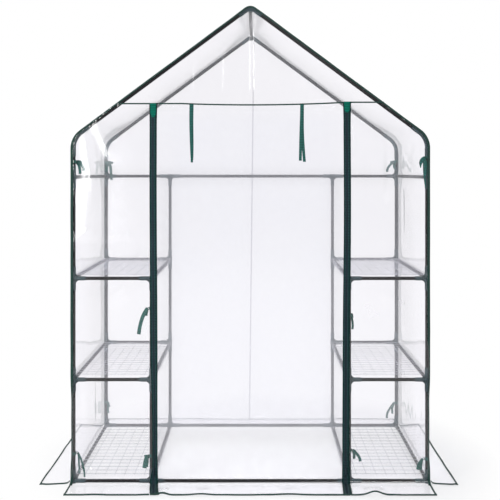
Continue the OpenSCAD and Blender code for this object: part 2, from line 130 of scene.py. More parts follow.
class GreenhouseSizes(bpy.types.PropertyGroup):
    """Sizes of the cover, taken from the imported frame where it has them"""

    wall_x: length("Half width", "From the middle to the side film", high("right_wall_film").x)
    wall_y: length("Half depth", "From the middle to the end film", high("back_film").y)
    eave_z: length("Eave height", "Where the side film starts to bend", high("right_wall_film").z)
    eave_r: length("Eave radius", "Bend of the film at the eave", 0.0906)
    apex_z: length("Roof peak", "Where the two roof slopes would meet", high("front_gable_film").z)
    ridge_r: length("Ridge radius", "Bend of the film over the ridge", 0.036)
    seam_z: length("Seam height", "Height of the gable seam", low("front_gable_film").z)
    seam_sag: length("Seam sag", "How far the gable seam hangs in the middle", 0.0105)
    side_edge: length("Side skirt edge", "From the middle to the side skirts' edges", high("right_skirt").x)
    end_edge: length("End skirt edge", "From the middle to the end skirts' edges", high("back_skirt").y)
    front_edge: length("Front skirt edge", "From the middle to the front skirt's edge, which is pulled out",
                       high("back_skirt").y + FRONT_PULL)
    ground_r: length("Ground bend", "Bend of the film where it meets the ground", 0.018)
    ground_z: length("Ground gap", "Height of the flat skirts above the ground", 0.0008)
    zip_x: length("Zip place", "From the middle to a zip", middle("right_zip").x)
    zip_w: length("Zip width", "Width of a zip with its tapes", 0.028)
    binding_w: length("Binding width", "Width of the tape folded round the cover's edges", 0.010)
    binding_t: length("Binding thickness", "Thickness of the folded tape", 0.0022)
    skirt_binding_w: length("Skirt binding width", "Width of the tape on the skirts' edges", 0.007)
    tie_w: length("Tie width", "Width of the loose tapes", 0.0115)
    tie_l: length("Door tie length", "Length of the tapes for the rolled door",
                  high("door_ties").z - low("door_ties").z)
    tube_r: length("Tube radius", "Radius of the frame's tubes", TUBE_R)
    post_x: length("Corner post place", "From the middle to a corner post",
                   middle("right_zip").x + ZIP_TO_INNER_POST + INNER_TO_CORNER_POST)
    post_y: length("Post row", "From the middle to a row of posts", high("rafters").y - TUBE_R)
    inner_x: length("Inner post place", "From the middle to an inner post",
                    middle("right_zip").x + ZIP_TO_INNER_POST)
    roof_sag: length("Roof sag", "How far the film hangs between the rafters", 0.020)
    ripple: length("Ripple height", "Height of the film's loose waves", 0.0032)


class GreenhouseColours(bpy.types.PropertyGroup):
    """Colours of the greenhouse"""

    film: colour("Film", "Tint of what is seen straight through the film", "#fffeff")
    haze: colour("Haze", "Tint of the light that the film scatters", "#f7f8ff")
    weld: colour("Weld", "Tint of the welded seam down the back", "#cfcfd3")
    tube: colour("Tubes", "Coating of the tubes", "#08080a")
    connector: colour("Connectors", "Moulded connectors", "#2b3c40")
    wire: colour("Wires", "Coating of the shelf wires", "#c6c6ce")
    binding: colour("Bindings", "Tape on the cover's edges", "#0d352e")
    zip_edge: colour("Zip edges", "Folded outer edges of the zips", "#0a2b29")
    zip_tape: colour("Zip tapes", "Tapes beside the coils", "#233b3e")
    zip_chain: colour("Zip chain", "Coil and band of the zips", "#0a242d")
    zip_head: colour("Zip heads", "Tabs at the top of the zips", "#005c4c")
    tie: colour("Ties", "Loose tapes", "#125049")
    floor: colour("Floor", "Paper under the greenhouse", "#f4f4f5")


# Materials


def add(tree, kind, sockets=None, stops=(), **settings):
    """Adds a node with its settings, its sockets and, on a ramp, its colour stops.

    A socket, by name or number, is set to a value, or linked to an output or to a node's first output.
    """
    node = tree.nodes.new("ShaderNode" + kind)
    for name, value in settings.items():
        setattr(node, name, value)
    for key, value in (sockets or {}).items():
        if isinstance(value, bpy.types.Node):
            value = value.outputs[0]
        if isinstance(value, bpy.types.NodeSocket):
            tree.links.new(value, node.inputs[key])
        else:
            node.inputs[key].default_value = value
    if stops:
        for element, (position, tone) in zip(node.color_ramp.elements, stops):
            element.position, element.color = position, tone
    return node


def new_material(name):
    material = bpy.data.materials.new(name)
    material.use_nodes = True
    material.node_tree.nodes.clear()
    return material, material.node_tree


def per_mm(size):
    """The scale of a texture whose features are this many millimetres apart, on coordinates in metres."""
    return 1000 / size


def shaded(tone, share):
    """A colour made darker or lighter by a share."""
    return [min(1, c * share) for c in tone[:3]] + [1]


def surface(tree, shader):
    add(tree, "OutputMaterial", {"Surface": shader})


def soft_pvc_film(name, tint, mist):
    """Calendered soft PVC, about 0.15 mm: clear with a cool haze in faint clouds, and glossy.

    The haze hides what is far behind the film and leaves what touches it dark. The door, which is rolled
    up and down, is rubbed hazier than the rest, and the gable is clearest. Seen along its face the film is
    a clear mirror, but a dull one on the roof, which takes the weather.
    """
    material, tree = new_material(name)
    place = add(tree, "TexCoord").outputs["Object"]
    parts = add(tree, "SeparateXYZ", {"Vector": place})
    clouds = add(tree, "TexNoise", {"Vector": place, "Scale": per_mm(170), "Detail": 2.0})
    cloud = add(tree, "MapRange", {
        "Value": clouds, "From Min": 0.3, "From Max": 0.7, "To Min": 0.88, "To Max": 1.12})
    across = add(tree, "Math", {0: parts.outputs["X"]}, operation="ABSOLUTE")
    rubbed = add(tree, "MapRange", {
        "Value": across, "From Min": 0.37, "From Max": 0.41, "To Min": 0.36, "To Max": 0.245})
    door = add(tree, "Math", {0: cloud, 1: rubbed}, operation="MULTIPLY")
    above = add(tree, "MapRange", {
        "Value": parts.outputs["Z"], "From Min": 1.48, "From Max": 1.53, "To Min": 1.0, "To Max": 0.55})
    haze = add(tree, "Math", {0: door, 1: above}, operation="MULTIPLY")
    dimples = add(tree, "TexNoise", {"Vector": place, "Scale": per_mm(11), "Detail": 1.0})
    skin = add(tree, "Bump", {"Strength": 0.25, "Distance": 0.0004, "Height": dimples})
    # A film bends and mirrors light alike from inside and outside, so its index is turned over on the back
    # of a face.
    back = add(tree, "NewGeometry").outputs["Backfacing"]
    bend = add(tree, "MapRange", {"Value": back, "To Min": 1.3, "To Max": 1 / 1.3})
    clear = add(tree, "BsdfTransparent", {"Color": tint})
    scatter = add(tree, "BsdfRefraction", {
        "Color": mist, "Roughness": 0.46, "IOR": bend, "Normal": skin}, distribution="BECKMANN")
    body = add(tree, "MixShader", {"Fac": haze, 1: clear, 2: scatter})
    broad = add(tree, "BsdfGlossy", {"Color": (1, 1, 1, 1), "Roughness": 0.21, "Normal": skin})
    sharp = add(tree, "BsdfGlossy", {"Color": (1, 1, 1, 1), "Roughness": 0.03})
    index = add(tree, "MapRange", {"Value": back, "To Min": 1.53, "To Max": 1 / 1.53})
    mirror = add(tree, "Fresnel", {"IOR": index, "Normal": skin})
    grazing = add(tree, "MapRange", {"Value": mirror, "From Min": 0.12, "From Max": 0.3})
    weather = add(tree, "MapRange", {
        "Value": parts.outputs["Z"], "From Min": 1.38, "From Max": 1.46, "To Min": 1.0, "To Max": 0.12})
    clarity = add(tree, "Math", {0: grazing, 1: weather}, operation="MULTIPLY")
    gloss = add(tree, "MixShader", {"Fac": clarity, 1: broad, 2: sharp})
    both_faces = add(tree, "MapRange", {
        "Value": mirror, "From Min": 0.04, "From Max": 0.6, "To Min": 0.055, "To Max": 0.5})
    surface(tree, add(tree, "MixShader", {"Fac": both_faces, 1: body, 2: gloss}))
    return material


def powder_coated_steel(coat):
    """Thin steel tube with baked powder coat: satin charcoal, fine orange peel, scuffed lighter in places."""
    material, tree = new_material("powder_coated_steel")
    place = add(tree, "TexCoord").outputs["Object"]
    scuffs = add(tree, "TexNoise", {"Vector": place, "Scale": per_mm(60), "Detail": 6.0, "Roughness": 0.7})
    tone = add(tree, "ValToRGB", {"Fac": scuffs}, ((0.35, coat), (0.85, shaded(coat, 1.9))))
    rough = add(tree, "MapRange", {"Value": scuffs, "To Min": 0.26, "To Max": 0.42})
    # The real peel is under 1 mm; 3 mm is the finest that still shows here.
    peel = add(tree, "TexNoise", {"Vector": place, "Scale": per_mm(3), "Detail": 2.0})
    bump = add(tree, "Bump", {"Strength": 0.2, "Distance": 0.0003, "Height": peel})
    surface(tree, add(tree, "BsdfPrincipled", {
        "Base Color": tone, "Roughness": rough, "IOR": 1.27, "Normal": bump}))
    return material


def moulded_polypropylene(tone):
    """Injection-moulded polypropylene: dull slate green with a spark-eroded grain and cloudy flow marks."""
    material, tree = new_material("moulded_polypropylene")
    place = add(tree, "TexCoord").outputs["Object"]
    flow = add(tree, "TexNoise", {"Vector": place, "Scale": per_mm(24), "Detail": 3.0, "Distortion": 0.6})
    shade = add(tree, "ValToRGB", {"Fac": flow}, ((0.3, shaded(tone, 0.82)), (0.75, shaded(tone, 1.25))))
    grain = add(tree, "TexNoise", {"Vector": place, "Scale": per_mm(1.6), "Detail": 2.0})
    bump = add(tree, "Bump", {"Strength": 0.35, "Distance": 0.0003, "Height": grain})
    surface(tree, add(tree, "BsdfPrincipled", {
        "Base Color": shade, "Roughness": 0.5, "IOR": 1.38, "Normal": bump}))
    return material


def dipped_wire(tone):
    """Welded wire dipped in grey polyethylene: smooth, slightly waxy, darker where the dip is thin."""
    material, tree = new_material("dipped_wire")
    place = add(tree, "TexCoord").outputs["Object"]
    dip = add(tree, "TexNoise", {"Vector": place, "Scale": per_mm(45), "Detail": 4.0})
    shade = add(tree, "ValToRGB", {"Fac": dip}, ((0.3, shaded(tone, 0.7)), (0.7, tone)))
    surface(tree, add(tree, "BsdfPrincipled", {"Base Color": shade, "Roughness": 0.38, "IOR": 1.51}))
    return material


def woven_tape(name, tone, index=1.4):
    """Woven polypropylene tape: soft bands across it, darker between them, and a faint sheen.

    UV is in metres. The bands are 10 mm long, which is broader than the real ribs of about 1 mm.
    """
    material, tree = new_material(name)
    cloth = add(tree, "TexCoord").outputs["UV"]
    # At scale 1 a wave texture turns 20 radians in a unit.
    ribs = add(tree, "TexWave", {
        "Vector": cloth, "Scale": per_mm(10.053) * 2 * math.pi / 20, "Distortion": 0.5, "Detail": 1.0,
        "Detail Scale": 2.0}, wave_type="BANDS", bands_direction="X", wave_profile="SIN")
    yarn = add(tree, "TexNoise", {"Vector": cloth, "Scale": per_mm(7), "Detail": 4.0})
    level = add(tree, "Math", {0: ribs.outputs["Fac"], 1: yarn}, operation="MULTIPLY")
    shade = add(tree, "ValToRGB", {"Fac": level}, ((0.02, shaded(tone, 0.68)), (0.55, shaded(tone, 1.28))))
    bump = add(tree, "Bump", {"Strength": 0.5, "Distance": 0.0003, "Height": ribs.outputs["Fac"]})
    surface(tree, add(tree, "BsdfPrincipled", {
        "Base Color": shade, "Roughness": 0.7, "IOR": index, "Sheen Weight": 0.05, "Normal": bump}))
    return material


def nylon_coil(tone):
    """Spun nylon zip coil: navy, slightly glossy on the turned wire, duller on its woven band."""
    material, tree = new_material("nylon_coil")
    place = add(tree, "TexCoord").outputs["Object"]
    fuzz = add(tree, "TexNoise", {"Vector": place, "Scale": per_mm(4), "Detail": 3.0})
    shade = add(tree, "ValToRGB", {"Fac": fuzz}, ((0.0, shaded(tone, 0.7)), (1.0, shaded(tone, 1.3))))
    rough = add(tree, "MapRange", {"Value": fuzz, "To Min": 0.45, "To Max": 0.65})
    surface(tree, add(tree, "BsdfPrincipled", {"Base Color": shade, "Roughness": rough, "IOR": 1.4}))
    return material


def polyester_thread(tone):
    """Twisted polyester sewing thread: dark, with a fine twist."""
    material, tree = new_material("polyester_thread")
    place = add(tree, "TexCoord").outputs["Object"]
    twist = add(tree, "TexNoise", {"Vector": place, "Scale": per_mm(2), "Detail": 2.0})
    shade = add(tree, "ValToRGB", {"Fac": twist}, ((0.0, shaded(tone, 0.5)), (1.0, shaded(tone, 1.5))))
    surface(tree, add(tree, "BsdfPrincipled", {"Base Color": shade, "Roughness": 0.55, "IOR": 1.55}))
    return material


def studio_paper(tone):
    """Matt paper floor that the camera sees as white; near the greenhouse the lit paper shows with its real
    shadow, plus painted shade, deepest at the front and on the right.
    """
    material, tree = new_material("studio_paper")
    place = add(tree, "TexCoord").outputs["Object"]
    # Painted shade: the share of white is lowest at the front and on the right, and raised behind.
    parts = add(tree, "SeparateXYZ", {"Vector": place})
    front = add(tree, "MapRange", {
        "Value": parts.outputs["X"], "From Min": -0.8, "From Max": 0.8, "To Min": 0.62, "To Max": 0.44})
    behind = add(tree, "MapRange", {
        "Value": parts.outputs["Y"], "From Min": -0.05, "From Max": 0.22, "To Min": 0.0, "To Max": 0.19})
    near = add(tree, "Math", {0: front, 1: behind}, operation="ADD")
    # The painted shade fades out away from the greenhouse, where the floor is all white.
    far = add(tree, "VectorMath", {0: place, 1: (0.06, 0, 0)}, operation="DISTANCE")
    white = add(tree, "MapRange", {
        "Value": far.outputs["Value"], "From Min": 0.8, "From Max": 1.02, "To Min": near, "To Max": 1.0})
    path = add(tree, "LightPath").outputs
    mirrored = add(tree, "Math", {0: path["Is Glossy Ray"], 1: path["Is Transmission Ray"]},
                   operation="ADD", use_clamp=True)
    seen = add(tree, "Math", {0: path["Is Camera Ray"], 1: mirrored}, operation="ADD", use_clamp=True)
    share = add(tree, "Math", {0: seen, 1: white}, operation="MULTIPLY")
    fibres = add(tree, "TexNoise", {"Vector": place, "Scale": per_mm(30), "Detail": 4.0})
    shade = add(tree, "ValToRGB", {"Fac": fibres}, ((0.0, shaded(tone, 0.985)), (1.0, tone)))
    paper = add(tree, "BsdfDiffuse", {"Color": shade})
    glow = add(tree, "Emission", {"Color": (1, 1, 1, 1), "Strength": 1.0})
    surface(tree, add(tree, "MixShader", {"Fac": share, 1: paper, 2: glow}))
    return material


def kept(name, make, *values):
    """The material of this name, made on first use."""
    return bpy.data.materials.get(name) or make(*values)


def film_finish(context):
    colours = context.scene.greenhouse_colours
    return kept("soft_pvc_film", soft_pvc_film, "soft_pvc_film", colours.film[:], colours.haze[:])


def weld_finish(context):
    """Two layers of film fused under a hot bar: greyer than the film beside them."""
    tone = context.scene.greenhouse_colours.weld[:]
    return kept("welded_pvc_film", soft_pvc_film, "welded_pvc_film", tone, tone)


def binding_finish(context):
    return kept("woven_binding", woven_tape, "woven_binding", context.scene.greenhouse_colours.binding[:])


def thread_finish(context):
    return kept("polyester_thread", polyester_thread, context.scene.greenhouse_colours.binding[:])


def tie_finish(context):
    return kept("woven_tie", woven_tape, "woven_tie", context.scene.greenhouse_colours.tie[:])


# Shapes


def smooth(t):
    t = min(1.0, max(0.0, t))
    return t * t * (3 - 2 * t)


def wave(a, b, seed, size_a, size_b):
    """Smooth waves from about -1 to 1, with a wave length each way."""
    return noise.noise(Vector((a / size_a + 7.3 * seed, b / size_b - 3.1 * seed, 1.7 * seed)))


def fold(a, b, start, end, width):
    """A soft ridge from start to end: 1 along its line, and 0 beyond its ends and sides."""
    taper = 0.3
    run_a, run_b = end[0] - start[0], end[1] - start[1]
    t = ((a - start[0]) * run_a + (b - start[1]) * run_b) / (run_a ** 2 + run_b ** 2)
    off_a, off_b = a - start[0] - t * run_a, b - start[1] - t * run_b
    return smooth(min(t, 1 - t) / taper) * math.exp(-(off_a ** 2 + off_b ** 2) / width ** 2)


def deselect():
    if bpy.context.object and bpy.context.object.mode != "OBJECT":
        bpy.ops.object.mode_set(mode="OBJECT")
    bpy.ops.object.select_all(action="DESELECT")


def sheet_mesh(name, across, along, place, wide=1.0, long=1.0):
    """A grid with each point where place(u, v) puts it. Its UV is in metres: long by wide."""
    deselect()
    bpy.ops.mesh.primitive_grid_add(x_subdivisions=across, y_subdivisions=along, size=1, calc_uvs=True)
    piece = bpy.context.object
    piece.name = piece.data.name = name
    for uv in piece.data.uv_layers.active.data:
        uv.uv = (uv.uv[1] * long, uv.uv[0] * wide)
    for vertex in piece.data.vertices:
        vertex.co = place(vertex.co.x + 0.5, vertex.co.y + 0.5)
    bpy.ops.object.mode_set(mode="EDIT")
    bpy.ops.mesh.select_all(action="SELECT")
    bpy.ops.mesh.remove_doubles(threshold=MERGE_DISTANCE)
    bpy.ops.object.mode_set(mode="OBJECT")
    bpy.ops.object.shade_smooth()
    return piece


def thicken(piece, thickness):
    """Gives a sheet its thickness with an applied Solidify, half to each side."""
    bpy.context.view_layer.objects.active = piece
    modifier = piece.modifiers.new("thickness", "SOLIDIFY")
    modifier.thickness = thickness
    modifier.offset = 0.0
    bpy.ops.object.modifier_apply(modifier=modifier.name)


def join(pieces, name):
    """Joins pieces into the first and names it."""
    deselect()
    for piece in pieces:
        piece.select_set(True)
    bpy.context.view_layer.objects.active = pieces[0]
    bpy.ops.object.join()
    piece = bpy.context.object
    piece.name = piece.data.name = name
    return piece


def dress(piece, material):
    """Gives a piece one material in place of any it has."""
    piece.data.materials.clear()
    piece.data.materials.append(material)


def finish_piece(piece, material, slot, *nodes):
    """Gives a piece its material, unless that is None, and its body, and hides the nodes it stands for; slot
    is not used.
    """
    if material is not None:
        dress(piece, material)
    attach(piece, "root")
    if nodes:
        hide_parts(*nodes)
    return piece


class GableOutline:
    """The right half of an end of the cover, along the film from the ground to the middle of the ridge."""

    def __init__(self, sizes):
        self.wall_x, self.start_z = sizes.wall_x, sizes.ground_z + sizes.ground_r
        self.eave_z, self.eave_r = sizes.eave_z, sizes.eave_r
        self.ridge_r, self.apex_z = sizes.ridge_r, sizes.apex_z
        self.centre_x = self.wall_x - self.eave_r
        rise = self.apex_z - self.eave_z
        reach = math.hypot(self.centre_x, rise)
        self.turn = math.atan2(rise, -self.centre_x) - math.acos(self.eave_r / reach)
        self.out = (math.cos(self.turn), math.sin(self.turn))
        self.ridge_z = self.apex_z - self.ridge_r / self.out[1]
        self.arc_x = self.centre_x + self.eave_r * self.out[0]
        self.arc_z = self.eave_z + self.eave_r * self.out[1]
        self.crown_x = self.ridge_r * self.out[0]
        crown_z = self.ridge_z + self.ridge_r * self.out[1]
        self.wall_l = self.eave_z - self.start_z
        self.eave_l = self.eave_r * self.turn
        self.roof_l = math.hypot(self.arc_x - self.crown_x, crown_z - self.arc_z)
        self.ridge_l = self.ridge_r * (math.pi / 2 - self.turn)
        self.length = self.wall_l + self.eave_l + self.roof_l + self.ridge_l

    def point(self, s):
        """x, z and the outward direction at a distance s up from the ground bend."""
        if s <= self.wall_l:
            return self.wall_x, self.start_z + s, 1.0, 0.0
        s -= self.wall_l
        if s <= self.eave_l:
            c, d = math.cos(s / self.eave_r), math.sin(s / self.eave_r)
            return self.centre_x + self.eave_r * c, self.eave_z + self.eave_r * d, c, d
        s -= self.eave_l
        if s <= self.roof_l:
            return (self.arc_x - s * self.out[1], self.arc_z + s * self.out[0], *self.out)
        turn = min(math.pi / 2, self.turn + (s - self.roof_l) / self.ridge_r)
        c, d = math.cos(turn), math.sin(turn)
        return self.ridge_r * c, self.ridge_z + self.ridge_r * d, c, d

    def top(self, x):
        """Height of the outline above a place across the end."""
        x = min(abs(x), self.wall_x)
        if x < self.crown_x:
            return self.ridge_z + math.sqrt(self.ridge_r ** 2 - x * x)
        if x < self.arc_x:
            return self.arc_z + (self.arc_x - x) * self.out[0] / self.out[1]
        return self.eave_z + math.sqrt(max(0.0, self.eave_r ** 2 - (x - self.centre_x) ** 2))


def ground_bend(sizes, edge, wall, s):
    """Out, up and facing of a skirt and its bend, s from its edge; then the film goes straight up."""
    flat = edge - wall - sizes.ground_r
    if s <= flat:
        return edge - s, sizes.ground_z, 0.0, 1.0
    turn = min(math.pi / 2, (s - flat) / sizes.ground_r)
    c, d = math.sin(turn), math.cos(turn)
    return (wall + sizes.ground_r * (1 - c), sizes.ground_z + sizes.ground_r * (1 - d), c, d)


def edge_crest(s):
    """How far a skirt rises beside its edge, s away, because the tape sewn to it tips down."""
    height, inward, width = 0.0022, 0.008, 0.012
    return height * math.exp(-((s - inward) / width) ** 2)


def bend_length(sizes, edge, wall):
    return edge - wall - sizes.ground_r + sizes.ground_r * math.pi / 2


def tier_heights():
    return [middle(n + "_rails").z for n in ("ground", "middle", "top", "upper")]


def slack(distances, start=0.016, full=0.11):
    """0 at a tube that holds the film, and 1 well away from every one."""
    return smooth((min(abs(d) for d in distances) - start) / (full - start))


def corner_slack(z):
    """How far the front corners of the cover stand off the posts at a height."""
    return CORNER_STAND_OFF * smooth((z - 0.04) / 0.09) * smooth((0.45 - z) / 0.12)


def seam_height(sizes, x):
    """The gable seam hangs between the zips and is a little lower at the left."""
    sag = sizes.seam_sag * (1 - min(1.0, abs(x) / sizes.zip_x) ** 2)
    lean = SEAM_LEAN * smooth((sizes.zip_x - x) / (2 * sizes.zip_x))
    return sizes.seam_z - max(sag, lean)


# Stage


class GREENHOUSE_OT_stage(bpy.types.Operator):
    """Makes the paper floor, the studio light and the camera"""

    bl_idname = "greenhouse.stage"
    bl_label = "Stage"

    def execute(self, context):
        scene = context.scene
        scene.view_settings.view_transform = "Standard"
        deselect()
        bpy.ops.mesh.primitive_grid_add(x_subdivisions=4, y_subdivisions=4, size=16, location=(0, 0, 0))
        floor = context.object
        floor.name = floor.data.name = "studio_floor"
        floor.data.materials.append(studio_paper(scene.greenhouse_colours.floor[:]))
        self.light_world(scene)
        self.hang_lamp("left_softbox", (-2.65, -3.0, 1.55), (-0.2, 0.0, 1.4), (0.8, 2.6), 90)
        self.hang_lamp("right_softbox", (1.35, -3.5, 3.0), (0.0, 0.0, 1.0), (1.3, 0.6), 42)
        self.hang_lamp("top_softbox", (0.0, 0.6, 4.2), (0.0, 0.0, 0.8), (3.0, 2.4), 50)
        self.aim_camera(scene)
        return {"FINISHED"}

    def light_world(self, scene):
        """White where the camera, mirrors and film look at it, dimmer behind the camera, and a plain fill."""
        world = bpy.data.worlds.new("white_studio")
        scene.world = world
        world.use_nodes = True
        tree = world.node_tree
        tree.nodes.clear()
        path = add(tree, "LightPath").outputs
        way = add(tree, "SeparateXYZ", {0: add(tree, "TexCoord").outputs["Generated"]})
        depth = add(tree, "MapRange", {
            "Value": way.outputs["Y"], "From Min": -0.75, "From Max": 0.1, "To Min": 0.14, "To Max": 1.0})
        straight = add(tree, "Math", {0: path["Is Camera Ray"], 1: path["Is Transmission Ray"]},
                       operation="ADD", use_clamp=True)
        fill = add(tree, "Background", {"Color": (0.96, 0.97, 1.0, 1), "Strength": 0.52})
        mirrored = add(tree, "Background", {"Color": (1, 1, 1, 1), "Strength": depth})
        white = add(tree, "Background", {"Color": (1, 1, 1, 1), "Strength": 1.0})
        first = add(tree, "MixShader", {"Fac": path["Is Glossy Ray"], 1: fill, 2: mirrored})
        last = add(tree, "MixShader", {"Fac": straight, 1: first, 2: white})
        add(tree, "OutputWorld", {"Surface": last})

    def hang_lamp(self, name, place, target, size, power):
        lamp = bpy.data.lights.new(name, "AREA")
        lamp.shape = "RECTANGLE"
        lamp.size, lamp.size_y = size
        lamp.energy = power
        holder = bpy.data.objects.new(name, lamp)
        bpy.context.scene.collection.objects.link(holder)
        holder.location = place
        holder.rotation_euler = (Vector(target) - Vector(place)).to_track_quat("-Z", "Y").to_euler()
        holder.visible_camera = False

    def aim_camera(self, scene):
        """A level camera in front, whose frame is moved down as the photograph's is."""
        camera = bpy.data.cameras.new("camera")
        camera.sensor_width = 36.0
        camera.lens = 58.57
        camera.shift_x = -0.0111
        camera.shift_y = -0.157
        holder = bpy.data.objects.new("camera", camera)
        scene.collection.objects.link(holder)
        holder.location = (0.0208, -3.6034, 1.2434)
        holder.rotation_euler = (math.radians(90), 0, 0)
        scene.camera = holder


# Frame


class GREENHOUSE_OT_frame_finish(bpy.types.Operator):
    """Gives the tubes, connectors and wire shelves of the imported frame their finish"""

    bl_idname = "greenhouse.frame_finish"
    bl_label = "Frame Finish"

    def execute(self, context):
        colours = context.scene.greenhouse_colours
        for nodes, material in ((TUBES, powder_coated_steel(colours.tube[:])),
                                (CONNECTORS, moulded_polypropylene(colours.connector[:])),
                                (SHELVES, dipped_wire(colours.wire[:]))):
            for node in nodes:
                dress(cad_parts[node], material)
        return {"FINISHED"}


# Cover


class GREENHOUSE_OT_wrap_film(bpy.types.Operator):
    """Lays one sheet of film over the roof and both sides, with the side skirts"""

    bl_idname = "greenhouse.wrap_film"
    bl_label = "Wrap Film"

    # How far both skirts lie to the left, the share by which each spreads, and the height of their waves
    SKIRT_SHIFT = 0.0068
    SKIRT_SPREAD = {-1: 0.044, 1: 0.058}
    SKIRT_WAVE = 0.0035
    # Heights of the creases that the folded pack left in the walls, and their width and height
    PACK_CREASES = (0.62, 1.04)
    CREASE_W, CREASE_H = 0.004, 0.0011
    # Height of the crinkles over the eaves
    CRINKLE_H = 0.0012

    def execute(self, context):
        sizes = context.scene.greenhouse_sizes
        outline = GableOutline(sizes)
        skirt = bend_length(sizes, sizes.side_edge, sizes.wall_x)
        half = skirt + outline.length
        edge_y = sizes.wall_y - EDGE_INSET
        tiers = tier_heights()

        def place(u, v):
            t = (2 * v - 1) * half
            side = 1 if t >= 0 else -1
            s = half - abs(t)
            y = (2 * u - 1) * edge_y
            if s < skirt:
                x, z, _, _ = ground_bend(sizes, sizes.side_edge, sizes.wall_x, s)
                loose = smooth((skirt - 0.03 - s) / 0.06)
                pulled = smooth((skirt - s) / skirt)
                x -= self.SKIRT_SHIFT * side * pulled
                y *= 1 + self.SKIRT_SPREAD[side] * pulled
                z += edge_crest(s)
                z += self.SKIRT_WAVE * loose * max(0.0, 0.25 + wave(s, y, 3 + side, 0.2, 0.11))
                return Vector((side * x, y, z))
            x, z, out_x, out_z = outline.point(s - skirt)
            lift = self.loose_waves(sizes, tiers, outline, side, s - skirt, y, z)
            near_front = smooth((0.05 - sizes.post_y - y) / 0.055)
            y -= corner_slack(z) * near_front
            lift -= 0.5 * corner_slack(z) * near_front
            return Vector((side * (x + lift * out_x), y, z + lift * out_z))

        piece = sheet_mesh("wrap_cover", 72, 420, place, 2 * edge_y, 2 * half)
        finish_piece(piece, film_finish(context), "clear_film", "left_wall_film", "right_wall_film",
                     "left_eave_film", "right_eave_film", "left_roof_film", "right_roof_film",
                     "left_skirt", "right_skirt")
        return {"FINISHED"}

    def loose_waves(self, sizes, tiers, outline, side, s, y, z):
        """Height of the film over its flat place: folds between the tubes, creases from the pack."""
        posts = [y - sizes.post_y, y + sizes.post_y]
        if s <= outline.wall_l:
            loose = slack(posts, 0.045, 0.15) * slack([z - t for t in tiers] + [z - sizes.eave_z - 0.03])
            upright = wave(y, z, 5 + side, 0.075, 0.55) + 0.6 * wave(y, z, 9 + side, 0.19, 0.3)
            crease = sum(fold(y, z, (-0.4, up), (0.4, up), self.CREASE_W) for up in self.PACK_CREASES)
            return sizes.ripple * loose * (0.35 + upright) + self.CREASE_H * crease * loose
        loose = slack(posts, 0.004, 0.06)
        crinkle = smooth((sizes.eave_z + 0.1 - z) / 0.1) * wave(y, s, 21 + side, 0.05, 0.035)
        broad = wave(y, s, 13 + side, 0.2, 0.5)
        slope = s - outline.wall_l - outline.eave_l
        hang = smooth(min(slope, outline.roof_l - slope) / 0.16)
        sag = sizes.roof_sag * (1 - (y / sizes.post_y) ** 2) * hang
        return loose * (0.6 * sizes.ripple * (0.4 + broad) + self.CRINKLE_H * crinkle) - max(0.0, sag)


def upright_sheet(context, name, x_left, x_right, face, bottom, top, columns, rows, lift):
    """A film panel of one end, with a skirt if bottom is None.

    face is -1 for the front and 1 for the back, top(x) its upper edge, and lift(x, z) how far it stands out.
    """
    sizes = context.scene.greenhouse_sizes
    edge = sizes.front_edge if face < 0 else sizes.end_edge
    skirt = bend_length(sizes, edge, sizes.wall_y) if bottom is None else 0.0
    share = SKIRT_ROWS if bottom is None else 0.0
    plane = sizes.wall_y - FACE_GAP

    def place(u, v):
        part = 2 * u - 1
        part = (1 - CROWDING) * part + CROWDING * math.sin(part * math.pi / 2)
        x = (x_left + x_right) / 2 + (x_right - x_left) / 2 * part
        if v < share:
            out, z, _, _ = ground_bend(sizes, edge, plane, skirt * v / share)
            loose = smooth((out - plane - 0.03) / 0.05)
            z += loose * lift(x, z - (out - plane)) + edge_crest(skirt * v / share)
            return Vector((x, face * out, z))
        start = sizes.ground_z + sizes.ground_r if bottom is None else bottom(x)
        z = start + (top(x) - start) * (v - share) / (1 - share)
        near_post = smooth((abs(x) - sizes.post_x + 0.03) / 0.035) if face < 0 else 0.0
        pull = 0.5 * corner_slack(z) * near_post
        return Vector((x - math.copysign(pull, x), face * (plane + lift(x, z)), z))

    tall = top((x_left + x_right) / 2)
    return sheet_mesh(name, columns, rows, place, x_right - x_left, tall + skirt)


class GREENHOUSE_OT_back_film(bpy.types.Operator):
    """Closes the back with one sheet of film with its skirt and the welded seam down its middle"""

    bl_idname = "greenhouse.back_film"
    bl_label = "Back Film"

    # The weld's width, height off the film, foot, end below the peak, place across at the ground and lean
    WELD_W, WELD_OFF = 0.0055, 0.0006
    WELD_FOOT, WELD_END = 0.03, 0.015
    WELD_X, WELD_LEAN = -0.009, 0.0112
    SKIRT_WAVE = 0.003

    def execute(self, context):
        sizes = context.scene.greenhouse_sizes
        outline = GableOutline(sizes)
        tiers = tier_heights()
        wall = sizes.wall_x - EDGE_INSET

        def lift(x, z):
            if z < 0:
                return self.SKIRT_WAVE * max(0.0, 0.2 + wave(x, z, 31, 0.16, 0.2))
            tubes = [abs(x) - sizes.post_x, abs(x) - sizes.inner_x, z - tiers[0], z - tiers[3]]
            loose = slack(tubes) * smooth((outline.top(x) - z) / 0.1)
            loose *= 1.0 if abs(x) < sizes.inner_x else slack([z - tiers[1], z - tiers[2]])
            broad = wave(x, z, 33, 0.17, 0.5) + 0.5 * wave(x, z, 35, 0.4, 0.25)
            return sizes.ripple * loose * (0.5 + broad)

        piece = upright_sheet(context, "back_cover", wall, -wall, 1, None, outline.top, 130, 190, lift)
        finish_piece(piece, film_finish(context), "clear_film", "back_film", "back_skirt")

        def weld(u, v):
            z = self.WELD_FOOT + (outline.top(0) - self.WELD_FOOT - self.WELD_END) * v
            x = self.WELD_LEAN * z + self.WELD_X
            return Vector((x + self.WELD_W * (u - 0.5), sizes.wall_y + self.WELD_OFF + lift(x, z), z))

        seam = sheet_mesh("back_weld", 3, 190, weld)
        finish_piece(seam, weld_finish(context), "clear_film")
        flat = (2 * wall, outline.top(0) + sizes.end_edge - sizes.wall_y)
        return {"FINISHED"}


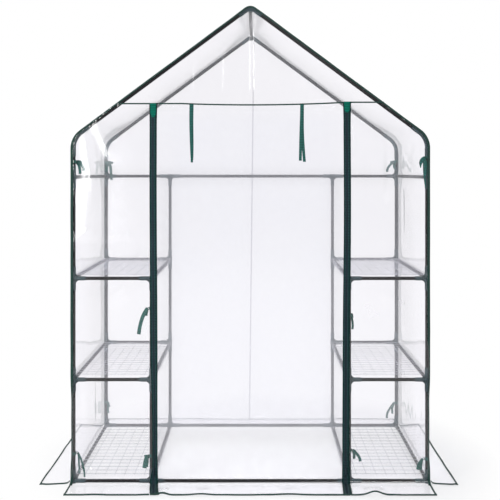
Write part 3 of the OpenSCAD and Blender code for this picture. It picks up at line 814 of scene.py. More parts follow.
class GREENHOUSE_OT_front_films(bpy.types.Operator):
    """Closes the front with two side panels, the door and the gable, each with its part of the skirt"""

    bl_idname = "greenhouse.front_films"
    bl_label = "Front Films"

    # Folds of the side panels that catch the light: start, end, width and height, across and up
    LEFT_FOLDS = (
        ((-0.629, 1.468), (-0.515, 1.264), 0.034, 0.0096),
        ((-0.661, 1.425), (-0.617, 1.150), 0.025, 0.0070),
        ((-0.500, 1.330), (-0.504, 1.150), 0.006, 0.0018),
        ((-0.430, 0.945), (-0.478, 0.800), 0.006, 0.0021),
        ((-0.446, 0.930), (-0.490, 0.800), 0.005, 0.0017),
        ((-0.630, 1.022), (-0.715, 0.962), 0.010, 0.0044),
        ((-0.575, 0.735), (-0.495, 0.790), 0.007, 0.0026),
    )
    # The film swells beside the left corner post: its lowest and highest place, and where it ends across
    SWELL = (0.958, 1.275, -0.420)
    RIGHT_FOLDS = (
        ((0.650, 1.365), (0.610, 1.240), 0.010, 0.0024),
        ((0.600, 1.345), (0.655, 1.235), 0.009, 0.0022),
        ((0.590, 1.450), (0.640, 1.400), 0.007, 0.0018),
        ((0.546, 1.400), (0.544, 1.100), 0.012, 0.0058),
    )
    # Creases that the folded pack left in the gable
    GABLE_CREASES = (
        ((-0.228, 1.500), (-0.220, 1.740), 0.0032, 0.0016),
        ((-0.108, 1.500), (-0.104, 1.760), 0.0032, 0.0019),
        ((0.0003, 1.460), (0.0003, 1.900), 0.0032, 0.0026),
        ((0.0162, 1.460), (0.0162, 1.900), 0.0032, 0.0028),
    )
    # Where the front skirt's edge stands up off the ground: place across, width and height
    SKIRT_HUMPS = (
        (0.480, 0.030, 0.013), (-0.335, 0.020, 0.006), (-0.190, 0.040, 0.004), (0.150, 0.060, 0.003))
    SKIRT_WAVE = 0.003
    # How far the panels end from the middle of a zip
    ZIP_GAP = 0.0015
    # Height of the small crumples, and their size across and up on the left and on the right
    CRUMPLE_H = 0.0062
    CRUMPLE_SIZES = {-1: (0.012, 0.028), 1: (0.026, 0.013)}
    # How far inside the cover's edge they are deepest, and the width of their band
    CRUMPLE_IN, CRUMPLE_W = 0.0130, 0.011
    # How much deeper they are at the foot, how far that is inside the post and up, and its size across and up
    FOOT_CRUMPLE, FOOT_PLACE, FOOT_SIZE = 2.2, (0.045, 0.045), (0.06, 0.04)

    def execute(self, context):
        sizes = context.scene.greenhouse_sizes
        outline = GableOutline(sizes)
        self.tiers = tier_heights()
        inside = sizes.zip_x + self.ZIP_GAP
        door = sizes.zip_x - self.ZIP_GAP
        wall = sizes.wall_x - EDGE_INSET

        def below_seam(x):
            return min(outline.top(x), seam_height(sizes, x))

        def left_lift(x, z):
            return self.panel_lift(sizes, outline, x, z, 41, self.LEFT_FOLDS, 1.0) + self.bulge(sizes, x, z)

        def right_lift(x, z):
            return self.panel_lift(sizes, outline, x, z, 45, self.RIGHT_FOLDS, 0.8)

        def door_lift(x, z):
            if z < 0:
                return self.skirt_lift(x, z, 53)
            loose = slack([abs(x) - sizes.inner_x, z - self.tiers[0], z - sizes.seam_z])
            broad = wave(x, z, 51, 0.3, 0.7) + 0.35 * wave(x, z, 55, 0.09, 0.5)
            return 0.3 * sizes.ripple * loose * (0.4 + 0.8 * broad)

        def gable_lift(x, z):
            loose = smooth((outline.top(x) - z) / 0.08) * smooth((z - sizes.seam_z) / 0.06)
            crease = sum(h * fold(x, z, a, b, w) for a, b, w, h in self.GABLE_CREASES)
            return 0.3 * sizes.ripple * loose * (0.5 + wave(x, z, 61, 0.3, 0.5)) + crease * loose

        panels = (
            ("left_cover", "front_left_film", -wall, -inside, None, below_seam, 100, 300, left_lift),
            ("right_cover", "front_right_film", inside, wall, None, below_seam, 80, 240, right_lift),
            ("door_cover", "door_film", -door, door, None, below_seam, 90, 190, door_lift),
            ("gable_cover", "front_gable_film", -SEAM_REACH, SEAM_REACH, below_seam, outline.top, 560, 60,
             gable_lift),
        )
        for name, node, x_left, x_right, bottom, top, columns, rows, lift in panels:
            piece = upright_sheet(context, name, x_left, x_right, -1, bottom, top, columns, rows, lift)
            nodes = (node,) if bottom else (node, "front_skirt")
            finish_piece(piece, film_finish(context), "clear_film", *nodes)
        return {"FINISHED"}

    def skirt_lift(self, x, z, seed):
        """Height of the front skirt off the ground, -z out from the cover."""
        humps = sum(h * math.exp(-((x - c) / w) ** 2) for c, w, h in self.SKIRT_HUMPS)
        return (self.SKIRT_WAVE * max(0.0, wave(x, z, seed, 0.11, 0.2)) + humps) * smooth(-z / 0.08)

    def bulge(self, sizes, x, z):
        """A loose swell beside the left corner post, steepest there, where it takes the lamp's light."""
        slope, roughness = 0.102, 0.0005
        bottom, top, end = self.SWELL
        start = sizes.tube_r + 0.002 - sizes.post_x
        long = 0.03 + 0.085 * smooth((z - bottom) / 0.22)
        t = (x - start) / long
        if t < 0:
            return 0.0
        rise = t * (2 - t) if t < 1 else smooth((end - x) / (end - start - long))
        window = smooth(min((z - bottom) / 0.03, (top - z) / 0.11))
        return (slope * long * rise + roughness * min(1, t) * wave(x, z, 49, 0.02, 0.05)) * window

    def panel_lift(self, sizes, outline, x, z, seed, folds, crumple):
        """How far a side panel stands out: waves between the tubes, folds, and crumples by the post."""
        if z < 0:
            return self.skirt_lift(x, z, seed + 2)
        side = abs(x)
        tubes = [side - sizes.post_x, side - sizes.inner_x, *[z - t for t in self.tiers[:3]]]
        loose = slack(tubes, 0.012, 0.08)
        broad = wave(x, z, seed, 0.12, 0.35) + 0.5 * wave(x, z, seed + 1, 0.25, 0.2)
        ridges = sum(h * fold(x, z, a, b, w) for a, b, w, h in folds)
        edge = min(sizes.wall_x - side, outline.top(x) - z)
        corner = math.exp(-((edge - self.CRUMPLE_IN) / self.CRUMPLE_W) ** 2)
        corner *= 0.3 * smooth((z - 0.25) / 0.3) + 0.7 * smooth((z - 1.08) / 0.2)
        foot_x = (side - sizes.post_x + self.FOOT_PLACE[0]) / self.FOOT_SIZE[0]
        foot_z = (z - self.FOOT_PLACE[1]) / self.FOOT_SIZE[1]
        corner += self.FOOT_CRUMPLE * math.exp(-foot_x ** 2 - foot_z ** 2)
        wide, tall = self.CRUMPLE_SIZES[-1 if x < 0 else 1]
        small = abs(wave(x, z, seed + 5, wide, tall)) + 0.5 * abs(wave(x, z, seed + 7, wide / 2, tall / 2.5))
        held = smooth((edge - 0.004) / 0.02)
        stand_off = corner_slack(z) * smooth((side - sizes.post_x + 0.05) / 0.045)
        return (0.8 * sizes.ripple * loose * (0.35 + broad) + held * ridges + stand_off
                + self.CRUMPLE_H * crumple * corner * small)


# Tapes


def run_length(path):
    return sum((b[0] - a[0]).length for a, b in zip(path, path[1:]))


def folded_tape(name, path, width, thickness):
    """A tape folded round an edge. path has points, each with the ways out of the edge and off its face."""
    half = thickness / 2
    profile = [(-width + half, half), (-width * 0.6, half * 1.05), (-width * 0.3, half), (0.0, half)]
    profile += [(half * math.sin(a), half * math.cos(a)) for a in (0.6, 1.2, 1.95, 2.55)]
    profile += [(0.0, -half), (-width * 0.3, -half), (-width * 0.6, -half * 1.05), (-width + half, -half)]
    rows, last = len(path) - 1, len(profile) - 1

    def place(u, v):
        point, out, face = path[round(v * rows)]
        a, b = profile[round(u * last)]
        return point + a * out + b * face

    tape = sheet_mesh(name, last, rows, place, 2 * width, run_length(path))
    thicken(tape, BINDING_WALL)
    return tape


def flat_tape(name, path, width, thickness):
    """A flat tape along a path of points, each with the way across it and the way off its face."""
    rows, columns = len(path) - 1, 6

    def place(u, v):
        point, across, face = path[round(v * rows)]
        crown = 0.12 * thickness * math.cos((u - 0.5) * 5)
        return point + (u - 0.5) * width * across + crown * face

    tape = sheet_mesh(name, columns, rows, place, width, run_length(path))
    thicken(tape, thickness)
    return tape


def rounded_block(size, place, bevel, segments):
    """A cube pulled to a size, with its edges rounded."""
    deselect()
    bpy.ops.mesh.primitive_cube_add(size=1, location=place)
    bpy.ops.object.mode_set(mode="EDIT")
    bpy.ops.mesh.select_all(action="SELECT")
    bpy.ops.transform.resize(value=size, center_override=place)
    bpy.ops.mesh.bevel(offset=bevel, segments=segments, affect="EDGES")
    bpy.ops.object.mode_set(mode="OBJECT")
    return bpy.context.object


def stitch_row(name, spots, long, wide, tall):
    """A row of stitches. spots has points, each with the way along the seam and the way off its face.

    One stitch is a block as long as the thread shows, with rounded edges.
    """
    stitch = rounded_block((long, wide, tall), (0, 0, 0), tall * 0.35, 1)
    corners = [v.co.copy() for v in stitch.data.vertices]
    faces = [tuple(p.vertices) for p in stitch.data.polygons]
    points, polygons = [], []
    for spot, along, face in spots:
        across = face.cross(along)
        start = len(points)
        points += [spot + c.x * along + c.y * across + c.z * face for c in corners]
        polygons += [tuple(i + start for i in polygon) for polygon in faces]
    mesh = bpy.data.meshes.new(name)
    mesh.from_pydata(points, [], polygons)
    bpy.data.objects.remove(stitch)
    row = bpy.data.objects.new(name, mesh)
    bpy.context.scene.collection.objects.link(row)
    return row


def paced(path, pitch, left):
    """Points at a pitch along a path, the first one left in from its start, each with its three ways."""
    for (a, out, face), (b, _, _) in zip(path, path[1:]):
        step = (b - a).length
        if step < NO_STEP:
            continue
        along = (b - a) / step
        while left < step:
            yield a + left * along, along, out, face
            left += pitch
        left -= step


def stitches_along(name, path, inset, off, pitch=0.0075):
    """Stitches on both faces of a folded tape, at an inset from its edge."""
    spots = []
    for point, along, out, face in paced(path, pitch, pitch / 2):
        spot = point - inset * out
        spots += [(spot + off * face, along, face), (spot - off * face, along, -face)]
    return stitch_row(name, spots, pitch * 0.68, *THREAD)


def finish_tape(context, tape, thread, node):
    """Joins a tape with its thread, each with its own material."""
    dress(tape, binding_finish(context))
    dress(thread, thread_finish(context))
    return finish_piece(join([tape, thread], tape.name), None, "edge_tape", node)


class GREENHOUSE_OT_edge_bindings(bpy.types.Operator):
    """Binds the front and back edges of the cover with folded tape"""

    bl_idname = "greenhouse.edge_bindings"
    bl_label = "Edge Bindings"

    # How far the front and back tapes stand past the film's edge on the walls and on the roof slopes, how
    # much further on the right slope than on the left, and the width that shows on the slopes as a share
    PROUD = {-1: (-0.0012, -0.0013, 0.0018, 0.62), 1: (0.001, -0.001, 0.0, 1.0)}
    # How far the tapes sway past that, how far they lie off the ground, and their points
    SWAY, FOOT_OFF, STEPS = 0.0007, 0.0012, 620
    # How far the front tape turns near the ground, and up to which height at the left and right
    MOST_TURN, TURN_TOP = math.radians(80), {-1: 0.44, 1: 0.60}
    # The thread's place from the tape's inner edge, and how far it lies off the tape
    THREAD_INSET, THREAD_OFF = 0.003, 0.0003

    def execute(self, context):
        sizes = context.scene.greenhouse_sizes
        outline = GableOutline(sizes)
        for face, end in ((-1, "front"), (1, "back")):
            path = self.edge_path(sizes, outline, face)
            tape = folded_tape(end + "_binding", path, sizes.binding_w, sizes.binding_t)
            thread = stitches_along(end + "_thread", path, sizes.binding_w - self.THREAD_INSET,
                                    sizes.binding_t / 2 + self.THREAD_OFF)
            finish_tape(context, tape, thread, end + "_edge_tape")
        return {"FINISHED"}

    def edge_path(self, sizes, outline, face):
        """Points up one side, over the ridge and down the other, each with the ways out and off the face."""
        path = []
        half = outline.length
        on_wall, on_slope, skew, share = self.PROUD[face]
        y = face * (sizes.wall_y + sizes.binding_t / 2 + FACE_GAP)
        for i in range(self.STEPS + 1):
            t = (2 * i / self.STEPS - 1) * half
            side = 1 if t >= 0 else -1
            x, z, out_x, out_z = outline.point(half - abs(t))
            here = on_slope + skew / 2 * side * smooth(abs(t) / 0.1)
            proud = on_wall + (here - on_wall) * smooth((z - sizes.eave_z + 0.02) / 0.12)
            proud += self.SWAY * wave(t, face, 71, 0.09, 1.0)
            out, off = Vector((side * out_x, 0, out_z)), Vector((0, face, 0))
            point = Vector((side * x, y, z)) + proud * out
            if face < 0:
                point += corner_slack(z) * (off - 0.5 * out)
                turn = self.turn(side, z)
                c, d = math.cos(turn), math.sin(turn)
                out, off = c * out + d * off, c * off - d * out
            path.append((point, out * (1 - (1 - share) * smooth((z - sizes.eave_z) / 0.12)), off))
        bend = self.foot(sizes, face)
        ends = [[(Vector((point.x, y, z)), out, off) for y, z, off in bend]
                for point, out, _ in (path[0], path[-1])]
        return ends[0][::-1] + path + ends[1]

    def turn(self, side, z):
        """How far the front tape has turned to lie along the side, near the ground."""
        return self.MOST_TURN * smooth((z - 0.03) / 0.08) * smooth((self.TURN_TOP[side] - z) / 0.11)

    def foot(self, sizes, face):
        """Place outwards, height and facing of the tape round the ground bend, from its top to its foot."""
        bend, steps = [], 8
        for i in range(1, steps + 1):
            turn = math.pi / 2 * i / steps
            out = sizes.wall_y + sizes.binding_t / 2 + sizes.ground_r * (1 - math.cos(turn))
            z = sizes.ground_z + self.FOOT_OFF + sizes.ground_r * (1 - math.sin(turn))
            bend.append((face * out, z, Vector((0, face * math.cos(turn), math.sin(turn)))))
        return bend


class GREENHOUSE_OT_seam_tape(bpy.types.Operator):
    """Sews the flat tape on the gable seam"""

    bl_idname = "greenhouse.seam_tape"
    bl_label = "Seam Tape"

    # The tape's width, how far it lies off the film and sways, and how far it ends before SEAM_REACH
    WIDTH, OFF, SWAY, END_GAP = 0.0056, 0.0013, 0.0005, 0.019
    # The thread's two rows from the tape's middle, how far they lie off it, and the size of a stitch
    THREAD_ROW, THREAD_OFF = 0.0019, 0.0009
    STITCH = (0.0034, 0.0009, 0.0005)

    def execute(self, context):
        sizes = context.scene.greenhouse_sizes
        reach = SEAM_REACH - self.END_GAP
        steps = 240
        path = []
        for i in range(steps + 1):
            x = (2 * i / steps - 1) * reach
            y = -sizes.wall_y - self.OFF - self.SWAY * wave(x, 0, 75, 0.1, 1)
            path.append((Vector((x, y, seam_height(sizes, x))), UP, FORWARD))
        tape = flat_tape("seam_band", path, self.WIDTH, SEAM_T)
        spots = [(point + self.THREAD_OFF * face + row * self.THREAD_ROW * UP, ACROSS, face)
                 for point, _, face in path[1:-1] for row in SIDES]
        thread = stitch_row("seam_thread", spots, *self.STITCH)
        finish_tape(context, tape, thread, "gable_seam_tape")
        return {"FINISHED"}


class GREENHOUSE_OT_skirt_bindings(bpy.types.Operator):
    """Binds the outer edges of all the skirts, following their waves"""

    bl_idname = "greenhouse.skirt_bindings"
    bl_label = "Skirt Bindings"

    FILMS = ("wrap_cover", "back_cover", "left_cover", "door_cover", "right_cover")
    # The thread's place from the tape's inner edge, how far it lies off the tape's middle, and its pitch
    THREAD_INSET, THREAD_OFF, PITCH = 0.0022, 0.0012, 0.009
    # An edge on the ground is this far outside the cover, at most this high, and not this close to a zip
    CLEAR, LOW, BESIDE_ZIP = 0.004, 0.02, 0.01
    # How far the tape lies up and out from the film's edge
    LIFT, OUT = 0.0009, 0.0006
    # How far it tips down, how much that varies, and where and how far the front one has turned on edge
    TILT, TILT_WAVE = 0.28, 0.2
    TURNED_X, TURNED_W, TURNED = -0.342, 0.022, 0.95

    def execute(self, context):
        sizes = context.scene.greenhouse_sizes
        tapes, threads = [], []
        for film in (bpy.data.objects[name] for name in self.FILMS):
            edges = self.skirt_edges(sizes, film)
            if not edges:
                raise RuntimeError(f"{film.name} has no skirt edge to bind")
            for i, path in enumerate(edges):
                name = f"{film.name}_hem_{i}"
                tapes.append(folded_tape(name, path, sizes.skirt_binding_w, HEM_T))
                inset = sizes.skirt_binding_w - self.THREAD_INSET
                threads.append(stitches_along(name + "_thread", path, inset, self.THREAD_OFF, self.PITCH))
        finish_tape(context, join(tapes, "skirt_binding"), join(threads, "skirt_thread"), "skirt_tape")
        return {"FINISHED"}

    def skirt_edges(self, sizes, film):
        """The open edges of a film that lie on the ground outside the cover, each as one path."""
        mesh = film.data
        counts = {}
        for polygon in mesh.polygons:
            for edge in polygon.edge_keys:
                counts[edge] = counts.get(edge, 0) + 1
        links = {}
        for (a, b), uses in counts.items():
            p, q = mesh.vertices[a].co, mesh.vertices[b].co
            m = (p + q) / 2
            outside = abs(m.x) > sizes.wall_x + self.CLEAR or abs(m.y) > sizes.wall_y + self.CLEAR
            if uses == 1 and outside and m.z < self.LOW and not self.beside_zip(sizes, m, q - p):
                links.setdefault(a, []).append(b)
                links.setdefault(b, []).append(a)
        paths, seen = [], set()
        for start in sorted(v for v in links if len(links[v]) == 1):
            if start in seen:
                continue
            chain, here, before = [start], start, None
            while True:
                after = [v for v in links[here] if v != before]
                if not after:
                    break
                before, here = here, after[0]
                chain.append(here)
            seen.update(chain)
            paths.append(self.with_ways([mesh.vertices[v].co.copy() for v in chain]))
        return paths

    def beside_zip(self, sizes, m, run):
        """True for an edge that runs out beside a zip, which the zip's own tape covers."""
        return m.y < 0 and abs(abs(m.x) - sizes.zip_x) < self.BESIDE_ZIP and abs(run.y) > abs(run.x)

    def with_ways(self, points):
        """Adds to each point of an edge the way out of the skirt and the way up from it."""
        centre = sum(points, Vector()) / len(points)
        inner = Vector((centre.x * 0.8, centre.y * 0.8, 0))
        path = []
        for i, point in enumerate(points):
            run = points[min(i + 1, len(points) - 1)] - points[max(i - 1, 0)]
            out = run.cross(UP).normalized()
            if out.dot(point - inner) < 0:
                out = -out
            tilt = self.tilt(point)
            down = math.cos(tilt) * out - math.sin(tilt) * UP
            face = math.sin(tilt) * out + math.cos(tilt) * UP
            path.append((point + UP * self.LIFT + out * self.OUT, down, face))
        return path

    def tilt(self, point):
        """How far the tape tips down at its edge; beside the left zip the front one has turned on edge."""
        turned = math.exp(-((point.x - self.TURNED_X) / self.TURNED_W) ** 2) if point.y < -0.42 else 0.0
        return self.TILT + self.TILT_WAVE * wave(point.x, point.y, 79, 0.09, 0.09) + self.TURNED * turned


# Zips and ties


class GREENHOUSE_OT_zips(bpy.types.Operator):
    """Sews in the two zips: tapes, band, coil, top tab and slider"""

    bl_idname = "greenhouse.zips"
    bl_label = "Zips"

    # The left and right edge of each strip from the zip's middle, how far it stands off, and its finish
    STRIPS = (
        (-0.0144, -0.0098, 0.0019, "edge"), (-0.0104, -0.0054, 0.0014, "tape"),
        (-0.0060, 0.0030, 0.0010, "chain"),
        (0.0024, 0.0072, 0.0014, "tape"), (0.0066, 0.0144, 0.0019, "edge"))
    # The coil's place from the zip's middle, how far it stands off, the pitch of its teeth and a tooth's size
    COIL_X, COIL_OFF, PITCH = -0.0016, 0.0018, 0.0034
    TOOTH = (0.0034, 0.0014, 0.0012)
    # How far all strips lie off the film, how far the left and right zip lean, and drift out over the skirt
    OFF = 0.0012
    LEAN = {-1: 0.0022, 1: -0.0056}
    DRIFT = {-1: 0.016, 1: -0.006}
    # How far both wander, the share of its width that the left one loses, and their hump on the skirt
    SWAY, NARROWING, HUMP = 0.0026, 0.27, 0.003
    # How much wider the strips are at the ground, at the top and more at the skirt's edge, as shares
    GROUND_FLARE, TOP_FLARE, EDGE_FLARE = 0.12, 0.10, 0.10
    # Length of the left and right tab, how far they lie off the film, rise over the seam and are narrower
    HEAD_L, HEAD_OFF, HEAD_RISE, HEAD_IN = {-1: 0.056, 1: 0.043}, 0.0042, 0.0025, 0.004
    # Height, stand-off and size of the slider, and the width and thickness of its pull
    SLIDER_Z, SLIDER_OFF, SLIDER = 0.062, 0.0058, (0.0085, 0.0032, 0.0125)
    PULL_W, PULL_T = 0.005, 0.0011

    def execute(self, context):
        sizes = context.scene.greenhouse_sizes
        colours = context.scene.greenhouse_colours
        matt_index = 1.2
        finishes = {"chain": kept("nylon_coil", nylon_coil, colours.zip_chain[:])}
        for part in ("edge", "tape", "head"):
            name = "woven_zip_" + part
            finishes[part] = kept(name, woven_tape, name, getattr(colours, "zip_" + part)[:], matt_index)
        for side, name in ((-1, "left_zip"), (1, "right_zip")):
            parts = []
            for left, right, off, finish in self.STRIPS:
                path = self.strip_path(sizes, side, (left + right) / 2, off)
                strip = flat_tape(f"{name}_{finish}_{left:.3f}", path, right - left, ZIP_TAPE_T)
                parts.append((strip, finish))
            parts += [(self.coil(sizes, side, name), "chain"), (self.head(sizes, side, name), "head"),
                      (self.slider(sizes, side, name), "chain")]
            for part, finish in parts:
                dress(part, finishes[finish])
            finish_piece(join([part for part, _ in parts], name + "_chain"), None, "zip", name)
        return {"FINISHED"}

    def strip_path(self, sizes, side, strip, off):
        """Points of one strip from the gable seam down the film and out over the skirt to its edge."""
        path = []
        end_gap = 0.001
        top = seam_height(sizes, side * sizes.zip_x) - end_gap
        skirt = bend_length(sizes, sizes.front_edge, sizes.wall_y)
        rows_up, rows_out = 170, 26
        for i in range(rows_up):
            z = top + (sizes.ground_z + sizes.ground_r - top) * i / rows_up
            flare = 1 + self.GROUND_FLARE * smooth((0.12 - z) / 0.12)
            flare += self.TOP_FLARE * smooth((z - top + 0.08) / 0.08)
            narrow = self.narrowing(side, z)
            flare *= 1 - narrow
            x = side * sizes.zip_x + strip * flare + self.sway(side, z) + narrow * sizes.zip_w / 2
            y = -sizes.wall_y - off - self.OFF * (1 + wave(z, strip, 83 + side, 0.16, 0.02))
            path.append((Vector((x, y, z)), ACROSS * flare, FORWARD))
        for i in range(rows_out + 1):
            t = i / rows_out
            out, z, out_y, out_z = ground_bend(
                sizes, sizes.front_edge - end_gap, sizes.wall_y, skirt * (1 - t))
            flare = 1 + self.GROUND_FLARE + self.EDGE_FLARE * t
            x = side * sizes.zip_x + strip * flare + self.sway(side, 0.0) + self.DRIFT[side] * t ** 1.5
            face = Vector((0, -out_y, out_z))
            hump = self.HUMP * smooth(t) * (1 - t)
            path.append((Vector((x, -out, z + hump)) + (off + self.OFF) * face, ACROSS * flare, face))
        return path

    def narrowing(self, side, z):
        """How much of a zip's width is lost at a height: low down the left one's left edge turns away."""
        if side > 0:
            return 0.0
        return self.NARROWING * smooth((0.62 - z) / 0.40) * smooth((z - 0.01) / 0.06)

    def sway(self, side, z):
        """How far a zip wanders to the side at a height."""
        return self.SWAY * wave(z, side, 87, 0.5, 1.0) + self.LEAN[side] * smooth((1.3 - z) / 1.2)

    def coil(self, sizes, side, name):
        """The two rows of turned wire, drawn as slanting teeth twice as wide apart as the real ones."""
        slant, row_x, lift = 0.35, 0.0013, 0.0004
        spots = []
        path = self.strip_path(sizes, side, self.COIL_X, self.COIL_OFF)
        for point, along, _, face in paced(path, self.PITCH, 0.0):
            across = face.cross(along)
            for row in SIDES:
                spot = point + row * self.PITCH / 4 * along + row * row_x * across + lift * face
                spots.append((spot, (across + slant * row * along).normalized(), face))
        return stitch_row(name + "_coil", spots, *self.TOOTH)

    def head(self, sizes, side, name):
        """The doubled tab that covers the top of the zip, with its lower corners cut off."""
        top = seam_height(sizes, side * sizes.zip_x) + self.HEAD_RISE
        path, rows = [], 24
        for i in range(rows + 1):
            t = i / rows
            z = top - self.HEAD_L[side] * t
            x = side * sizes.zip_x + self.sway(side, z)
            narrow = 1 - 0.12 * t - 0.40 * smooth((t - 0.72) / 0.28)
            y = -sizes.wall_y - self.HEAD_OFF - 0.0004 * math.sin(i * 0.5)
            path.append((Vector((x, y, z)), ACROSS * narrow, FORWARD))
        return flat_tape(name + "_head", path, sizes.zip_w - self.HEAD_IN, ZIP_TAPE_T)

    def slider(self, sizes, side, name):
        """A small slider at the foot of the closed zip, with its pull hanging."""
        z = self.SLIDER_Z
        x = side * sizes.zip_x + self.COIL_X + self.sway(side, z)
        y = -sizes.wall_y - self.SLIDER_OFF
        body = rounded_block(self.SLIDER, (x, y, z), 0.0012, 2)
        bpy.ops.object.transform_apply(location=True, rotation=True, scale=True)
        path = [(Vector((x, y - 0.0024 - 0.0008 * math.sin(i * 0.5), z + 0.003 - 0.004 * i)), ACROSS, FORWARD)
                for i in range(9)]
        return join([body, flat_tape(name + "_pull", path, self.PULL_W, self.PULL_T)], name + "_slider")


class GREENHOUSE_OT_door_ties(bpy.types.Operator):
    """Hangs the two pairs of tapes that hold the door when it is rolled up"""

    bl_idname = "greenhouse.door_ties"
    bl_label = "Door Ties"

    # Name, place across the seam, sideways reach at the foot, length as a share, how far it hangs in front,
    # and how far its end is turned, which narrows it
    TAPES = (
        ("left_front", -0.2358, 0.0030, 1.00, 0.0012, 0.75),
        ("left_behind", -0.2308, -0.0020, 0.955, 0.0, 0.55),
        ("right_front", 0.2030, -0.0050, 0.965, 0.0012, 0.10),
        ("right_behind", 0.2065, 0.0080, 0.985, 0.0, 0.12),
    )
    # How far the tapes hang off the film, and how much that and their place across vary
    OFF, WAVE, SWING = 0.0062, 0.0016, 0.0009
    ROWS = 44

    def execute(self, context):
        sizes = context.scene.greenhouse_sizes
        for name, x0, reach, share, ahead, turned in self.TAPES:
            top = seam_height(sizes, x0) - 0.001
            long = sizes.tie_l * share
            path = []
            for i in range(self.ROWS + 1):
                t = i / self.ROWS
                x = x0 + reach * t * t + self.SWING * math.sin(5 * t + x0 * 40)
                y = -sizes.wall_y - self.OFF - ahead - self.WAVE * wave(t, x0, 91, 0.35, 1.0)
                turn = 0.35 * wave(t, x0, 95, 0.45, 1.0) + turned * 1.25 * smooth((t - 0.55) / 0.45)
                across = Vector((math.cos(turn), math.sin(turn) * 0.6, 0))
                path.append((Vector((x, y, top - long * t)), across, FORWARD))
            tape = flat_tape("door_tie_" + name, path, sizes.tie_w, TIE_T)
            finish_piece(tape, tie_finish(context), "tie_tape", "door_ties")
        return {"FINISHED"}


def tape_run(points, across, rows):
    """A smooth path through points, with the way across the tape at each and the way off its face."""

    def at(t):
        t *= len(points) - 1
        i = min(int(t), len(points) - 2)
        p = [points[max(0, min(len(points) - 1, k))] for k in (i - 1, i, i + 1, i + 2)]
        f = t - i
        return 0.5 * (2 * p[1] + (p[2] - p[0]) * f + (2 * p[0] - 5 * p[1] + 4 * p[2] - p[3]) * f * f
                      + (3 * p[1] - p[0] - 3 * p[2] + p[3]) * f ** 3)

    path = []
    for i in range(rows + 1):
        t = i / rows
        here = at(t)
        run = (at(min(1, t + 0.5 / rows)) - at(max(0, t - 0.5 / rows))).normalized()
        over = (across - run * across.dot(run)).normalized()
        path.append((here, over, run.cross(over)))
    return path


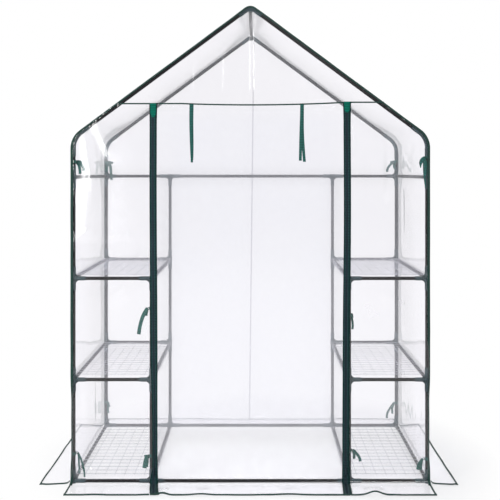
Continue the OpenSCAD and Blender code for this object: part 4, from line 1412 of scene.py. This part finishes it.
class GREENHOUSE_OT_post_ties(bpy.types.Operator):
    """Knots the tapes that hold the cover to the posts"""

    bl_idname = "greenhouse.post_ties"
    bl_label = "Post Ties"

    # Name, side, row (-1 front, 1 back), post (0 corner, 1 inner), height, heading of the knot in degrees,
    # how far each tail hangs across and down, size of the bow's loops, width of the tails as a share, and how
    # far the tails are folded to a leaf
    TIES = (
        ("front_left_top", -1, -1, 0, 1.285, 25, ((0.010, 0.052), (0.024, 0.040)), 0.011, 1.0, 0.0),
        ("front_right_top", 1, -1, 0, 1.300, 214, ((0.005, 0.122), (-0.014, 0.042)), 0.0, 1.45, 1.0),
        ("back_left_top", -1, 1, 0, 1.290, -30, ((0.014, 0.088), (-0.014, 0.052)), 0.015, 1.1, 0.0),
        ("back_right_top", 1, 1, 0, 1.292, 210, ((-0.032, 0.050), (0.006, 0.036)), 0.012, 1.0, 0.0),
        ("front_left_foot", -1, -1, 0, 0.120, 15, ((0.028, 0.098), (0.004, 0.085)), 0.0, 0.6, 0.0),
        ("front_right_foot", 1, -1, 0, 0.096, 165, ((-0.022, 0.044), (-0.008, 0.046)), 0.0, 0.9, 0.0),
        ("back_left_foot", -1, 1, 0, 0.124, -60, ((0.004, 0.052), (0.008, 0.022)), 0.0, 0.9, 0.0),
        ("back_right_foot", 1, 1, 0, 0.118, 210, ((-0.034, 0.072), (-0.006, 0.050)), 0.0, 0.9, 0.0),
        ("door_left_foot", -1, -1, 1, 0.108, 170, ((-0.013, 0.050), (-0.004, 0.044)), 0.009, 1.5, 0.0),
        ("door_right_foot", 1, -1, 1, 0.130, 20, ((0.030, 0.046), (0.004, 0.036)), 0.0, 1.0, 0.0),
        ("door_left_middle", -1, -1, 1, 0.697, 170, ((-0.036, 0.104), (-0.006, 0.030)), 0.0, 1.35, 0.0),
        ("door_right_middle", 1, -1, 1, 0.672, 40, ((0.002, 0.060), (-0.002, 0.022)), 0.0, 0.8, 0.0),
    )
    # How far the ring lies off its post, and the knot off the ring
    RING_GAP, KNOT_OFF = 0.0012, 0.0042

    def execute(self, context):
        sizes = context.scene.greenhouse_sizes
        for name, side, row, post, height, heading, tails, loop, share, leaf in self.TIES:
            x = side * (sizes.inner_x if post else sizes.post_x)
            at = Vector((x, row * sizes.post_y, height))
            piece, used = self.tie(sizes, name, at, math.radians(heading), tails, loop, share, leaf)
            finish_piece(piece, tie_finish(context), "tie_tape", "post_ties")
        return {"FINISHED"}

    def tie(self, sizes, name, at, heading, tails, loop, share, leaf):
        """A tape round a post, its knot, two tails and, where it has a bow, two loops."""
        r = sizes.tube_r + self.RING_GAP
        ahead = Vector((math.cos(heading), math.sin(heading), 0))
        aside = Vector((-ahead.y, ahead.x, 0))
        wide = sizes.tie_w
        knot = at + (r + self.KNOT_OFF) * ahead
        ring = [at + (r + TIE_T * (k / 16)) * (math.cos(a) * ahead + math.sin(a) * aside)
                + UP * 0.002 * math.sin(a) for k, a in self.angles(16, 1)]
        turns = [knot + 0.0040 * math.cos(a) * UP + 0.0034 * math.sin(a) * ahead
                 + 0.0012 * (k / 8 - 1) * aside for k, a in self.angles(16, 2)]
        runs = [(ring, UP, 48, wide, 0.0), (turns, aside, 48, wide * 0.7, 0.0)]
        for i, (across, down) in enumerate(tails):
            dip = [knot + ahead * (0.003 + 0.002 * i) + ACROSS * across * math.sin(k / 5 * 1.45)
                   - UP * down * (k / 5) ** 1.2 + 0.002 * math.sin(1.3 * k + i) * aside for k in range(6)]
            runs.append((dip, (ACROSS + 0.25 * aside).normalized(), 24, wide * share, leaf))
        for way in SIDES if loop else ():
            out = (0.6 * way * ACROSS + 0.5 * ahead - 0.3 * UP).normalized()
            bow = [knot + out * loop * 1.5 * math.sin(a / 2) + ahead * 0.003
                   + aside * loop * 0.3 * math.sin(a) for _, a in self.angles(10, 1)]
            runs.append((bow, (UP + 0.5 * way * ACROSS).normalized(), 30, wide * 0.85, 0.0))
        parts, used = [], 0.0
        for i, (points, across, rows, width, leafy) in enumerate(runs):
            path = [(point, over * (1 - leafy + leafy * self.leaf_width(k / rows)), face)
                    for k, (point, over, face) in enumerate(tape_run(points, across, rows))]
            used += run_length(path) * width / wide
            parts.append(flat_tape(f"tie_{name}_{i}", path, width, TIE_T))
        return join(parts, "tie_" + name), used

    def angles(self, steps, turns):
        """The numbers and angles of even steps through whole turns."""
        return [(k, 2 * math.pi * turns * k / steps) for k in range(steps + 1)]

    def leaf_width(self, t):
        """Width of a tail that is pinched at its knot and pointed at its end."""
        return 0.12 + 0.88 * math.sin(math.pi * t ** 0.6)


# Add-on


PIECES = (GREENHOUSE_OT_stage, GREENHOUSE_OT_frame_finish, GREENHOUSE_OT_wrap_film, GREENHOUSE_OT_back_film,
          GREENHOUSE_OT_front_films, GREENHOUSE_OT_edge_bindings, GREENHOUSE_OT_seam_tape,
          GREENHOUSE_OT_skirt_bindings, GREENHOUSE_OT_zips, GREENHOUSE_OT_door_ties, GREENHOUSE_OT_post_ties)


class GREENHOUSE_PT_pieces(bpy.types.Panel):
    """Lists the greenhouse's pieces"""

    bl_idname = "GREENHOUSE_PT_pieces"
    bl_label = "Greenhouse"
    bl_space_type = "VIEW_3D"
    bl_region_type = "UI"
    bl_category = "Greenhouse"

    def draw(self, context):
        for piece in PIECES:
            self.layout.operator(piece.bl_idname)


CLASSES = (GreenhouseSizes, GreenhouseColours, *PIECES, GREENHOUSE_PT_pieces)


def register():
    for item in CLASSES:
        bpy.utils.register_class(item)
    bpy.types.Scene.greenhouse_sizes = PointerProperty(type=GreenhouseSizes)
    bpy.types.Scene.greenhouse_colours = PointerProperty(type=GreenhouseColours)


def unregister():
    del bpy.types.Scene.greenhouse_colours
    del bpy.types.Scene.greenhouse_sizes
    for item in reversed(CLASSES):
        bpy.utils.unregister_class(item)


def main():
    register()
    bpy.ops.greenhouse.stage()
    bpy.ops.greenhouse.frame_finish()
    bpy.ops.greenhouse.wrap_film()
    bpy.ops.greenhouse.back_film()
    bpy.ops.greenhouse.front_films()
    bpy.ops.greenhouse.edge_bindings()
    bpy.ops.greenhouse.seam_tape()
    bpy.ops.greenhouse.skirt_bindings()
    bpy.ops.greenhouse.zips()
    bpy.ops.greenhouse.door_ties()
    bpy.ops.greenhouse.post_ties()


if __name__ == "__main__":
    main()
